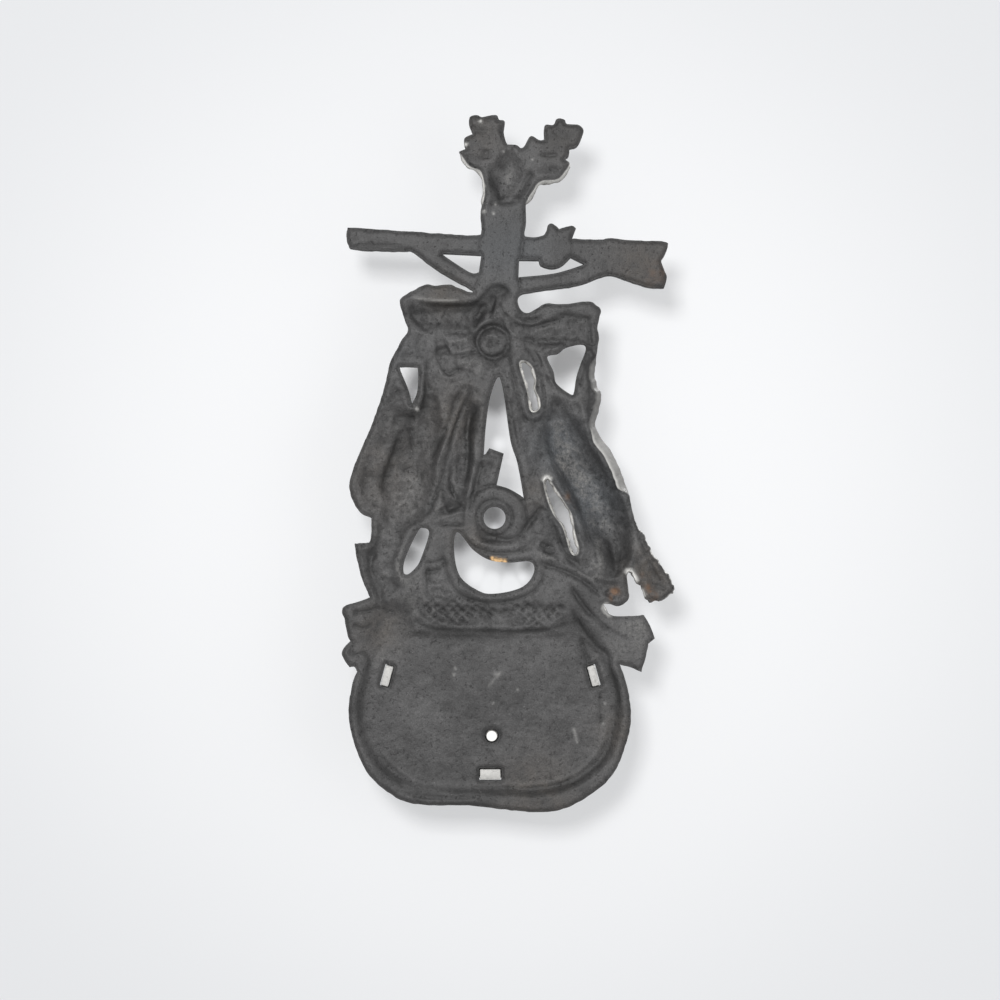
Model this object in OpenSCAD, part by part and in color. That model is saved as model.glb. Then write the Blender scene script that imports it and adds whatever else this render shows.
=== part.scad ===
// Wall match holder of cast iron with a hunter's trophies.
// A pierced back plate is cast as a thin hollow shell. A match pouch hooks its lugs into three slots
// of the plate and is held there by one screw.
// Everything is drawn as it is seen from behind the plate: x to the right, y up and z out of the wall,
// with the middle of the hanging hole at zero. The last step stands the drawing up on the wall.

/* [Plate] */
// Height of the plate, which the places and widths of its whole drawing follow
plate_height = 226.8; // [215:0.2:250]
// Depth of the plain ground, from the wall to its front face
ground_depth = 5; // [4.4:0.1:6.5]
// Wall of the hollow casting
shell_wall = 2.6; // [2.2:0.1:3]
// Width of the raised border of the bag
border_width = 4; // [3:0.25:5]
// How far the border of the bag stands above the ground
border_rise = 1.4; // [0.8:0.1:2.4]

/* [Relief depths] */
// Stag's head
head_depth = 14; // [11:0.5:17]
// Post under the head
post_depth = 9; // [7.5:0.25:11]
// Rifle
rifle_depth = 7.5; // [6.5:0.25:9]
// Folds of cloth and straps
cloth_depth = 9; // [8:0.25:11]
// Hung bird
bird_depth = 12; // [10:0.5:15]
// Hung hare
hare_depth = 15; // [12:0.5:18]
// Flap of the bag
flap_depth = 8; // [7:0.25:10]
// Peg that the game hangs from
peg_depth = 10.5; // [9.5:0.25:12]
// Powder flask, which is also the length of the hanging hole
flask_depth = 9; // [8:0.25:11]

/* [Hanging hole] */
// Diameter of the hanging hole
hang_hole_d = 7.2; // [5:0.1:8.4]
// Width of the collar around the hanging hole
collar_width = 1.9; // [1.2:0.1:2.6]

/* [Match pouch] */
// Width of the pouch at its mouth
mouth_width = 62.8; // [56:0.2:68]
// Greatest width of the pouch
pouch_width = 76.8; // [72:0.2:80]
// Height from the mouth down to the greatest width
shoulder_drop = 25.5; // [22:0.5:29]
// Height of the pouch
pouch_height = 46.8; // [42:0.2:49]
// How far the pouch stands out from the ground
pouch_depth = 22; // [18:0.5:28]
// Wall of the pouch
pouch_wall = 2.5; // [2:0.1:3]
// Height from the mouth down to the middle of the side lugs
side_lug_drop = 13; // [10:0.5:16]
// Length of a lug along the pouch's edge
lug_length = 6.7; // [5:0.1:8]
// Thickness of the bottom lug
bottom_lug_wall = 3.3; // [2.6:0.1:3.6]
// Gap around each lug in its slot
lug_gap = 0.25; // [0.15:0.05:0.4]

/* [Screw] */
// Diameter of the screw
screw_d = 4.2; // [3.5:0.1:5]
// Height of the screw above the bottom of the pouch
screw_rise = 14.2; // [12:0.2:17]
// Diameter of the post that the screw goes through
screw_post_d = 9.6; // [9:0.2:12]
// How far the post stands out in front of the pouch
screw_post_rise = 0.6; // [0.2:0.1:1.5]
// Diameter of the screw's head
screw_head_d = 8.2; // [7:0.1:8.8]
// Height of the screw's head
screw_head_height = 2.8; // [2.2:0.1:3.4]
// Width of the screwdriver slot
driver_slot = 1.2; // [0.8:0.1:1.6]
// Gap between the screw and the walls of its holes
screw_gap = 0.1; // [0.05:0.01:0.2]

/* [Hidden] */
iron = "#5b5a5a";
bright_iron = "#8d8c88";
$fn = 64;

// Steps of every curve between two drawn points, and sides of a half round limb
outline_steps = 3;
limb_steps = 2;
limb_sides = 7;
// How far cutters run past the faces that they cut
past = 1;

// Height that the points below are drawn at, and what they are multiplied by
drawn_height = 226.8;
drawn_share = plate_height / drawn_height;

// Places of the pouch, its mouth and its screw
pouch_x = -1.4 * drawn_share;
mouth_y = -38.5 * drawn_share;
pouch_bottom = mouth_y - pouch_height;
screw_x = -0.9 * drawn_share;
screw_y = pouch_bottom + screw_rise;
field_back = ground_depth - shell_wall;
screw_post_front = ground_depth + pouch_depth + screw_post_rise;
side_lean = (pouch_width - mouth_width) / 2 / shoulder_drop;
side_lug_x = mouth_width / 2 + side_lean * side_lug_drop - pouch_wall / 2 / cos(atan(side_lean));
side_lug_y = mouth_y - side_lug_drop;
bottom_lug_y = pouch_bottom + bottom_lug_wall / 2;

// Outer edge of the plate in stretches, clockwise, with a third number at each sharp corner
stag_edge = [
    [-8.2, 127.7], [-8, 130.4], [-5.8, 131.1], [-3.9, 130.5], [0.4, 131.1], [1.5, 129.6], [3.3, 128.9],
    [3, 124.7], [4.2, 121.5, 1], [7.2, 121.3], [8.6, 120.4], [9.9, 121.2], [11.8, 124.2], [14.8, 122.9],
    [16.2, 123.1, 1], [16.3, 127.5], [19.1, 127.9], [20, 129.5], [21.2, 130], [22.9, 129.5], [23.7, 128.2],
    [27.3, 127.9], [29, 125.8], [27, 121.2], [24.3, 120, 1], [24, 117.7], [22.8, 116.8, 1], [24.4, 115.3],
    [23.2, 112.8], [20.5, 110.1], [14.8, 109.2], [12.6, 106.2], [10.2, 102.3, 1]];
stock_edge = [
    [10.2, 96.3], [9.7, 92.5], [10.7, 91.4], [15.3, 91.7], [16.7, 93.1], [17.5, 95.2], [18.9, 95.7],
    [21, 94, 1], [25.1, 95.1], [26.5, 94.2, 1], [25.2, 90.9, 1], [34.3, 90.5], [37.5, 91], [44.6, 90.3],
    [55.2, 89.9], [56.4, 88.3], [55.2, 85.2], [54.2, 83.3], [55.4, 80.3], [56, 78.2], [55.1, 74.8, 1],
    [50, 75], [45.1, 76.5], [37.3, 78.8], [30, 76.4], [25.1, 75.2], [14.8, 73.8], [8.8, 72.7]];
cloth_edge = [
    [7.6, 70.6], [8.6, 67.6], [11, 66.6], [14.2, 68.4], [17, 69.9], [21.8, 69.5], [30, 70.4], [33.2, 69.2],
    [34.6, 67.3], [33.5, 62.2], [34, 58.9], [33.4, 53.5]];
hare_edge = [
    [33.2, 46], [34.9, 38.9], [33.2, 31.3], [33.8, 28], [38.9, 20.7], [43, 10.7], [45.4, 0.1], [48.6, -5.6],
    [52.7, -12.9], [58.7, -21.8], [58.4, -24.8, 1], [53.5, -27.5], [50, -27.2], [46.5, -21.3],
    [44.4, -17.6], [43, -18.6], [43.7, -25.6], [42.4, -27.8], [40.2, -28.7], [37.6, -28], [35.4, -28.3]];
right_ribbon_edge = [
    [37.3, -31.3], [40.2, -32.1], [48.6, -31.7, 1], [50.5, -34.8], [52.1, -39.1, 1], [50, -41, 1],
    [49.5, -44], [47.8, -50.1, 1], [44, -48.6], [40.8, -47.7, 1]];
bag_edge = [
    [43.2, -55.1], [44.4, -64.6], [42.4, -74.6], [37, -85.2], [25.1, -93.6], [13.7, -95.7], [0.2, -94.5],
    [-11.2, -93.4], [-19.3, -93.6], [-30.2, -91.8], [-39.9, -84.6], [-45.1, -74.9], [-47.5, -63.5],
    [-46.4, -54.8], [-44.8, -50, 1]];
left_ribbon_edge = [
    [-45.6, -48.5], [-47.2, -48.6, 1], [-49.7, -44], [-46.9, -40, 1], [-47.8, -38.1], [-48.6, -33.7],
    [-49.6, -30.2], [-48.6, -28.6], [-44.3, -27.3], [-40.5, -25.9, 1], [-43.4, -19.1], [-45.4, -9.3],
    [-44.8, -8.4], [-40.7, -8, 1], [-40.1, -6.1], [-40.1, -0.1, 1]];
bird_edge = [
    [-44.3, 2.5], [-47.2, 9.6], [-45.6, 16.9], [-40.2, 29.7], [-35.9, 42.1], [-34, 50.2], [-30.7, 57],
    [-28.2, 61], [-29.1, 64.1], [-30.8, 69.7], [-29.9, 71.9], [-24.8, 74.9], [-22.3, 75.9], [-19.3, 75.6],
    [-15, 76], [-11.8, 74.9], [-8.4, 73.6], [-7.4, 74.1]];
barrel_edge = [
    [-18.3, 80.3], [-26.4, 86.3], [-30.2, 86.7], [-45.1, 87.3], [-47.6, 88.8], [-48.2, 91.4], [-47.8, 93.9],
    [-46.5, 94.4], [-35, 93.7], [-12.8, 92.2], [-5.5, 92], [-4.3, 93.3], [-4.5, 99.6], [-3.3, 106.1],
    [-4.4, 112.3], [-8.5, 114.7], [-11.5, 119.1, 1], [-9.3, 120, 1], [-9.9, 121.8], [-9.6, 123.7],
    [-7, 124.9, 1]];
plate_edge = concat(
    stag_edge, stock_edge, cloth_edge, hare_edge, right_ribbon_edge, bag_edge, left_ribbon_edge, bird_edge,
    barrel_edge);

// Pierced openings of the plate
left_sling_gap = [[-16.7, 86, 1], [-4.3, 85.4, 1], [-5.1, 79.9, 1], [-8, 79.9], [-15.8, 84.9]];
right_sling_gap = [
    [8, 83.8, 1], [14.4, 83.7, 1], [15.1, 82], [18.6, 81], [21.8, 81.9], [24.8, 84.7, 1], [29.2, 82.5, 1],
    [19.7, 79.6], [7.8, 78.3, 1]];
bird_gap = [
    [-30.7, 48.2], [-30.2, 49.1], [-25, 49, 1], [-24.8, 45.4], [-25.3, 40.5], [-26.9, 37, 1], [-28, 41.6]];
fork_gap = [
    [1.2, 46], [2.9, 41], [5.2, 25.3], [7.5, 17.7], [9.5, 6.6, 1], [7.4, 8], [4.2, 9.7], [0.7, 10.7, 1],
    [3, 21, 1], [-1.7, 22.7, 1], [-2.9, 20.8, 1], [-3.5, 20.6, 1], [-2.8, 30.2], [-1.4, 39.5]];
leg_slit = [
    [8.2, 49.7], [9.6, 51.1], [12.1, 49.4], [13.4, 45.4], [13.2, 42], [14.6, 38.6], [14.7, 35.8],
    [12.9, 34.5], [11.5, 35.6], [10.7, 41]];
leg_gap = [
    [17.2, 52.4], [20.7, 53.5], [23.2, 55.4], [28.1, 56.5], [29.8, 55.2], [28.1, 50.2], [26.7, 45.9],
    [25.9, 41], [24.8, 40.2], [20.2, 43.7], [19.2, 47.6]];
flank_slit = [
    [16.1, 11.6], [17, 12.8], [18.3, 11.8], [23.5, 3.9], [25.1, 0.9], [26.2, -5], [27.4, -10.2],
    [26.4, -12.1], [24.6, -10.6], [22.4, -3.4], [19.1, 1.5], [17, 6.9]];
strap_slit = [
    [-25.1, -4.5], [-23.1, -3.3], [-21.3, -5], [-23.9, -13.1], [-25.6, -16.1], [-28.3, -18.4],
    [-29.7, -17.5], [-29.1, -13.1]];
crescent_gap = [
    [-12, -4.6], [-13.2, -10.4], [-11.2, -19.1], [-4.7, -24], [0.2, -24.7], [7, -23.4], [11, -21],
    [13, -17], [11.5, -14.2], [5, -14.5], [-1.5, -13.7], [-6.9, -10.4]];
plate_gaps = [
    left_sling_gap, right_sling_gap, bird_gap, fork_gap, leg_slit, leg_gap, flank_slit, strap_slit,
    crescent_gap];

// Spines of the relief: x, y, half width and share of the relief's depth
head_spine = [[4.6, 120.4, 3, 0.5], [4.6, 115, 7, 0.9], [4.5, 109, 6, 1], [4, 103.6, 4.4, 0.8]];
post_spine = [[3, 103, 6.2, 0.8], [2.8, 96, 6.4, 1], [2.4, 85, 6.3, 1], [1.6, 74, 6, 0.9]];
barrel_spine = [
    [-47.4, 90.9, 2.5, 0.95], [-30, 90.05, 2.9, 1], [-10, 89, 2.7, 1], [5, 88.5, 2.9, 1], [14, 87.8, 3, 1],
    [25, 87.4, 2.2, 1]];
stock_spine = [[24, 87.6, 2.2, 1], [34, 85.9, 4.2, 1], [45, 83.4, 6, 1.06], [53.4, 82.2, 6.4, 1.06]];
lock_spine = [[15, 87.8, 2.4, 0.9], [19.3, 88.6, 5.4, 1.1], [25, 90.8, 3, 0.95]];
upper_fold = [
    [-28.6, 69.4, 2, 0.75], [-23, 70.4, 4, 0.9], [-10, 69, 3.8, 1], [0, 67.6, 4, 1], [9, 62.8, 2.4, 0.9],
    [20, 65.4, 3, 0.9], [32, 66, 2.6, 0.75]];
middle_fold = [
    [-26, 61.4, 2.6, 0.75], [-14, 60, 4.4, 0.95], [0, 58.6, 3.8, 1], [14, 58.4, 2.4, 0.85],
    [31, 60.2, 2.6, 0.75]];
bag_strap = [
    [9, -10.8, 1.6, 0.75], [16, -13.4, 2, 0.9], [23, -18.6, 2.2, 0.9], [29.2, -26.6, 2.2, 0.9],
    [35.6, -36, 2.6, 0.85], [44, -42.4, 3.2, 0.7]];
bird_body = [
    [-22, 35, 4, 0.55], [-25, 29, 9, 0.85], [-28.4, 21, 11.4, 1], [-31.5, 12, 13.2, 1],
    [-34.4, 3, 8.6, 0.8], [-37, -5, 2.6, 0.5]];
bird_wing = [
    [-8.6, 45, 2.6, 0.5], [-10.2, 34, 5, 0.75], [-10.6, 20, 5.6, 0.85], [-13, 8, 5, 0.75], [-17, 0, 3, 0.5]];
inner_leg = [
    [5.4, 53, 2.4, 0.45], [5.9, 45, 2.9, 0.5], [7.2, 36, 2.6, 0.55], [11, 27, 4.6, 0.7], [17, 20, 5, 0.75]];
outer_leg = [
    [31.2, 55.6, 1.5, 0.42], [30.6, 49, 1.9, 0.45], [30, 42, 2.8, 0.5], [27.6, 34, 5, 0.65],
    [25.6, 26, 6, 0.8]];
hare_body = [
    [19, 36, 3.6, 0.45], [20, 28, 6.4, 0.75], [26.5, 19, 8.6, 0.95], [33, 8, 9, 1], [37.4, -3.4, 7.4, 0.95],
    [38.6, -14, 4.8, 0.75], [39.4, -25, 2.4, 0.5]];
hare_head = [[43, -5, 3, 0.7], [48.4, -14, 3.2, 0.65], [53, -21, 3, 0.6], [55.6, -24.4, 2, 0.45]];
fore_leg = [[13, 10.4, 2.8, 0.45], [14, 1, 3.2, 0.52], [19.4, -7.6, 2.8, 0.45]];
bag_flap = [
    [-27, -28, 5, 0.8], [-14, -30, 5.6, 1], [0, -30.8, 5, 1], [12, -30, 5.4, 1], [22, -29, 5, 0.85]];

// Each relief has its spine and its depth
reliefs = [
    [head_spine, head_depth], [post_spine, post_depth], [barrel_spine, rifle_depth],
    [stock_spine, rifle_depth], [lock_spine, rifle_depth], [upper_fold, cloth_depth],
    [middle_fold, cloth_depth], [bag_strap, cloth_depth], [bird_body, bird_depth],
    [bird_wing, bird_depth], [inner_leg, hare_depth], [outer_leg, hare_depth],
    [hare_body, hare_depth], [hare_head, hare_depth], [fore_leg, hare_depth], [bag_flap, flap_depth]];

// Spines of the hollows in the back: x, y, half width and share of the hollow's depth
head_hollow = [[4.6, 119, 2, 0.4], [4.6, 114.6, 4.8, 0.9], [4.4, 109, 4.4, 1], [4, 104.8, 3, 0.6]];
cloth_hollow = [
    [-26.4, 65.6, 1.6, 0.5], [-22, 65.6, 3.6, 0.9], [-14, 65.2, 4.2, 1], [-7, 66, 4, 1], [-2, 69.4, 3, 0.9],
    [2.2, 73, 2, 0.5]];
bird_hollow = [
    [-20.6, 38, 2.6, 0.35], [-22.6, 31, 6, 0.8], [-25.6, 22, 7.4, 1], [-28, 13, 8.6, 1], [-29.6, 4, 8, 0.8],
    [-32.5, -3, 3.6, 0.35]];
wing_hollow = [
    [-8.8, 42, 1.6, 0.4], [-10.4, 34, 3.4, 0.8], [-10.8, 20, 4, 1], [-13, 8, 3.6, 0.8], [-16.4, 1.5, 1.8, 0.4]];
hare_hollow = [
    [19.6, 37.6, 2.2, 0.3], [20.8, 32, 4.6, 0.6], [23, 26, 6.4, 0.85], [26.2, 18.6, 7.3, 1],
    [30.6, 10.6, 7.7, 1], [34.6, 2.8, 7.5, 1], [37.6, -4.5, 7.2, 0.9], [39.8, -10.5, 5.4, 0.55],
    [41.4, -15.5, 2.4, 0.25]];
flap_hollow = [
    [-25, -29, 2.6, 0.6], [-14, -31, 3.4, 1], [0, -32, 3.2, 1], [12, -31, 3.4, 1], [21, -29.5, 2.6, 0.6]];

// Each hollow has its spine and its depth, which leaves more than the casting's wall in front of it
hollow_forms = [
    [head_hollow, 0.21 * (head_depth - shell_wall)], [cloth_hollow, field_back],
    [bird_hollow, 0.53 * (bird_depth - shell_wall)], [wing_hollow, 0.32 * (bird_depth - shell_wall)],
    [hare_hollow, 0.56 * (hare_depth - shell_wall)], [flap_hollow, 0.26 * (flap_depth - shell_wall)]];

// Flask disc, peg and the line across the bag under its flap, with the ends of that line
flask_r = 9.6 * drawn_share;
flask_rim = 2;
peg_place = [-0.6, 57] * drawn_share;
peg_r = 4.9 * drawn_share;
boss_sides = 32;
flap_line = -37.2 * drawn_share;
flap_ends = [-33, 28] * drawn_share;

// Section of the bag's border: shares of its width from the plate's edge, and of its rise
border_section = [[0.1, 0.3], [0.3, 1], [0.7, 1], [0.9, 0.3]];

// The pouch narrows towards its front: share of its depth, and inset there
pouch_swell = [[0, 0], [0.42, 0.8], [0.74, 4.4], [0.92, 9], [1, 14]];
bottom_roundness = 2.5;
bottom_steps = 14;
// Height that its outline is carried on above its mouth, and the thin slice at each level
carried_on = 40;
slice = 0.01;
// Turn between the points of the screw's domed head
head_turn = 15;

// Point of a smooth curve between b and c, where a and d are the points before and after them
function curve_point(a, b, c, d, t) =
    (2 * b + (c - a) * t + (2 * a - 5 * b + 4 * c - d) * t * t + (3 * b - a - 3 * c + d) * t * t * t) / 2;
function flat_point(p) = [p[0], p[1]] * drawn_share;
function spine_point(p) = [p[0] * drawn_share, p[1] * drawn_share, p[2] * drawn_share, p[3]];
function is_corner(p) = len(p) == 3;

// Closed smooth edge through the drawn points, with its sharp corners kept
function smooth_edge(points) =
    let(count = len(points))
    [for (i = [0 : count - 1])
        let(b = points[i])
        let(c = points[(i + 1) % count])
        let(a = is_corner(b) ? b : points[(i + count - 1) % count])
        let(d = is_corner(c) ? c : points[(i + 2) % count])
        let(steps = is_corner(b) && is_corner(c) ? 1 : outline_steps)
        for (s = [0 : steps - 1])
            curve_point(flat_point(a), flat_point(b), flat_point(c), flat_point(d), s / steps)];

// Smooth run of stations along a spine
function spine_run(spine) =
    let(last = len(spine) - 1)
    [for (i = [0 : last - 1])
        for (s = [0 : limb_steps - (i == last - 1 ? 0 : 1)])
            curve_point(
                spine[max(i - 1, 0)], spine[i], spine[i + 1], spine[min(i + 2, last)], s / limb_steps)];

// Direction across a run at one of its stations
function across(run, i) =
    let(before = run[max(i - 1, 0)])
    let(after = run[min(i + 1, len(run) - 1)])
    let(along = [after[0] - before[0], after[1] - before[1]])
    [-along[1], along[0]] / norm(along);

// Smooth run through drawn points, moved inwards from the edge that they draw
function drawn_in(points, inset) =
    let(run = spine_run([for (p = points) flat_point(p)]))
    [for (i = [0 : len(run) - 1]) run[i] - inset * across(run, i)];

// Half round section of a limb at one station, with its two feet raised
function limb_section(run, i, depth, raise) =
    let(side = across(run, i))
    [for (k = [0 : limb_sides])
        let(turn = 180 * k / limb_sides)
        let(reach = run[i][2] * cos(turn))
        [run[i][0] + side[0] * reach, run[i][1] + side[1] * reach,
            k == 0 || k == limb_sides ? raise : -run[i][3] * depth * sin(turn)]];

// Faces of a tube of closed sections, with both of its ends
function tube_faces(sections, sides) = concat(
    [[for (k = [sides - 1 : -1 : 0]) k]],
    [for (i = [0 : sections - 2])
        for (k = [0 : sides - 1])
            let(next = (k + 1) % sides)
            [i * sides + k, i * sides + next, (i + 1) * sides + next, (i + 1) * sides + k]],
    [[for (k = [0 : sides - 1]) (sections - 1) * sides + k]]);

// Half round solid along a spine
module limb(spine, depth, raise) {
    run = spine_run([for (p = spine) spine_point(p)]);
    polyhedron(
        points = [for (i = [0 : len(run) - 1]) each limb_section(run, i, depth, raise)],
        faces = tube_faces(len(run), limb_sides + 1),
        convexity = 6);
}

// Stands the drawing up: its y becomes the height and its z the way to the wall
module on_wall() {
    rotate([90, 0, 180])
        children();
}

// Flat shape carried from one depth behind the wall plane to another
module cast(from, to) {
    translate([0, 0, -to])
        linear_extrude(height = to - from, convexity = 10)
            children();
}

module plate_shape() {
    difference() {
        polygon(smooth_edge(plate_edge));
        for (gap = plate_gaps)
            polygon(smooth_edge(gap));
    }
}

// Round boss that stands on the ground and ends in a flat face
module boss(radius, depth, place) {
    translate([place[0], place[1], -depth])
        cylinder(r = radius, h = depth - past, $fn = boss_sides);
}

module relief_solids() {
    cast(0, ground_depth)
        plate_shape();
    for (relief = reliefs)
        limb(relief[0], relief[1], -past);
    bag_border();
    boss(flask_r, flask_depth - flask_rim, [0, 0]);
    boss(hang_hole_d / 2 + collar_width, flask_depth, [0, 0]);
    boss(peg_r, peg_depth, peg_place);
}

// Raised border along the bag's edge, between the two ribbons
module bag_border() {
    rails = [for (corner = border_section) drawn_in(bag_edge, corner[0] * border_width)];
    low = len(border_section) - 1;
    count = len(rails[0]) - 2;
    polyhedron(
        points = [for (i = [1 : count])
            each concat(
                [[each rails[0][i], -past]],
                [for (k = [0 : low])
                    [each rails[k][i], -ground_depth - border_section[k][1] * border_rise]],
                [[each rails[low][i], -past]])],
        faces = tube_faces(count, low + 3),
        convexity = 6);
}

// The back of the casting is hollow behind its greater forms and behind the bag
module hollows() {
    for (hollow = hollow_forms)
        limb(hollow[0], hollow[1], past);
    cast(-past, field_back)
        polygon(concat(drawn_in(bag_edge, border_width), [for (end = flap_ends) [end, flap_line]]));
}

// Slots for the pouch's lugs
module lug_slots(grow, from, to) {
    for (side = [-1, 1])
        translate([pouch_x + side * side_lug_x, side_lug_y, -to])
            rotate([0, 0, side * atan(side_lean)])
                translate([-pouch_wall / 2 - grow, -lug_length / 2 - grow, 0])
                    cube([pouch_wall + 2 * grow, lug_length + 2 * grow, to - from]);
    translate([pouch_x - lug_length / 2 - grow, bottom_lug_y - bottom_lug_wall / 2 - grow, -to])
        cube([lug_length + 2 * grow, bottom_lug_wall + 2 * grow, to - from]);
}

// Round hole between two depths
module cylinder_cut(radius, from, to, place) {
    translate([place[0], place[1], -to])
        cylinder(r = radius, h = to - from);
}

module back_plate() {
    color(iron)
        on_wall()
            difference() {
                resize([0, 0, 0])
                    difference() {
                        relief_solids();
                        hollows();
                    }
                cylinder_cut(hang_hole_d / 2, -past, flask_depth + past, [0, 0]);
                cylinder_cut(screw_d / 2 + screw_gap, -past, ground_depth + past, [screw_x, screw_y]);
                lug_slots(lug_gap, -past, ground_depth + past);
            }
}

// Outline of the pouch on the plate, carried on above its mouth
function pouch_edge() =
    let(half_mouth = mouth_width / 2)
    let(half = pouch_width / 2)
    let(low = pouch_height - shoulder_drop)
    concat(
        [[half_mouth - side_lean * carried_on, mouth_y + carried_on]],
        [for (i = [0 : 2 * bottom_steps])
            let(turn = 90 * i / bottom_steps)
            let(reach = pow(abs(cos(turn)), 2 / bottom_roundness))
            let(fall = pow(sin(turn), 2 / bottom_roundness))
            [sign(cos(turn)) * half * reach, mouth_y - shoulder_drop - low * fall]],
        [[side_lean * carried_on - half_mouth, mouth_y + carried_on]]);

// Swelling body of the pouch, or its inside when a wall is given
module pouch_body(wall) {
    hull()
        for (level = pouch_swell)
            translate([pouch_x, 0, -ground_depth - level[0] * (pouch_depth - wall)])
                linear_extrude(height = slice)
                    offset(delta = -level[1] - wall)
                        polygon(pouch_edge());
}

module match_pouch() {
    color(iron)
        on_wall()
            difference() {
                union() {
                    intersection() {
                        difference() {
                            pouch_body(0);
                            pouch_body(pouch_wall);
                        }
                        translate([pouch_x - pouch_width, pouch_bottom - past, -screw_post_front])
                            cube([2 * pouch_width, pouch_height + past, screw_post_front - ground_depth]);
                    }
                    translate([screw_x, screw_y, -screw_post_front])
                        cylinder(d = screw_post_d, h = screw_post_front - ground_depth);
                    lug_slots(0, field_back, ground_depth + pouch_wall);
                }
                cylinder_cut(screw_d / 2 + screw_gap, 0, screw_post_front + past, [screw_x, screw_y]);
            }
}

module pouch_screw() {
    shank = screw_post_front - field_back;
    color(bright_iron)
        on_wall()
            translate([screw_x, screw_y, -screw_post_front])
                difference() {
                    union() {
                        cylinder(d = screw_d, h = shank);
                        rotate([180, 0, 0])
                            rotate_extrude()
                                polygon(screw_head_profile());
                    }
                    translate([-screw_head_d, -driver_slot / 2, -screw_head_height - past])
                        cube([2 * screw_head_d, driver_slot, past + screw_head_height / 2]);
                }
}

// Half of the domed head, from its axis out to its rim
function screw_head_profile() =
    let(radius = screw_head_d / 2)
    concat(
        [[0, 0], [radius, 0]],
        [for (turn = [head_turn : head_turn : 90]) [radius * cos(turn), screw_head_height * sin(turn)]]);

back_plate();
match_pouch();
pouch_screw();
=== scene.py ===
"""Cast iron wall match holder with a hunter's trophies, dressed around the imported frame.

Drawn places are in millimetres from the middle of the hanging hole, as the plate is seen from
behind: u runs to the right, v upwards, and depths run from the wall's plane to the front.
"""

import logging
import math
from collections.abc import Callable
from dataclasses import dataclass
from enum import Enum

import bpy
import numpy as np
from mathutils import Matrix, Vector
from mathutils.geometry import delaunay_2d_cdt
from mathutils.kdtree import KDTree


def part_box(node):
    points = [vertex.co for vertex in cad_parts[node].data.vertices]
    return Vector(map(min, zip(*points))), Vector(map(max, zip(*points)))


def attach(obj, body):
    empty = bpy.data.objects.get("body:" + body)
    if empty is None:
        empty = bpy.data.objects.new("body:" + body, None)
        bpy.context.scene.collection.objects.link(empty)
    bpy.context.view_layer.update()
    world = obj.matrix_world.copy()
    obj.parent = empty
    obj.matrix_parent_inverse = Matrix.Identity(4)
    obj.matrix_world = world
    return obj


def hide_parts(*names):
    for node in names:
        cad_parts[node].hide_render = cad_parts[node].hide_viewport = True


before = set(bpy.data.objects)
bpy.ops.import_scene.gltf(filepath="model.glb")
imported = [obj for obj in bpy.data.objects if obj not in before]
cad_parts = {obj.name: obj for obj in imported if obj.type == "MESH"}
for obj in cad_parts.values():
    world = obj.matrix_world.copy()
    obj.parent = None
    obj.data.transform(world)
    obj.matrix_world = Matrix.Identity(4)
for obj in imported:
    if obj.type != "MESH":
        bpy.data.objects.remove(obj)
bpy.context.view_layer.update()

LOG = logging.getLogger("match_holder")
MM = 0.001
TINY = 1e-9
GROUND = 5.0  # depth of the plate's plain front
SCREW_AT = (-0.9, -71.1)  # middle of the screw's hole
NET_LINE = 0.8  # half width of the lines of a diamond net
# hollow holds painted shade where above zero and painted light where below zero
VALUE_NAMES = ("hollow", "warm", "rust", "gold", "pale")  # what the finishes read at each point

Array = np.ndarray
Cells = tuple[slice, slice]
Colour = tuple[float, float, float]
Path = tuple[tuple[float, ...], ...]
Piece = bpy.types.Object
Socket = bpy.types.NodeSocket

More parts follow.
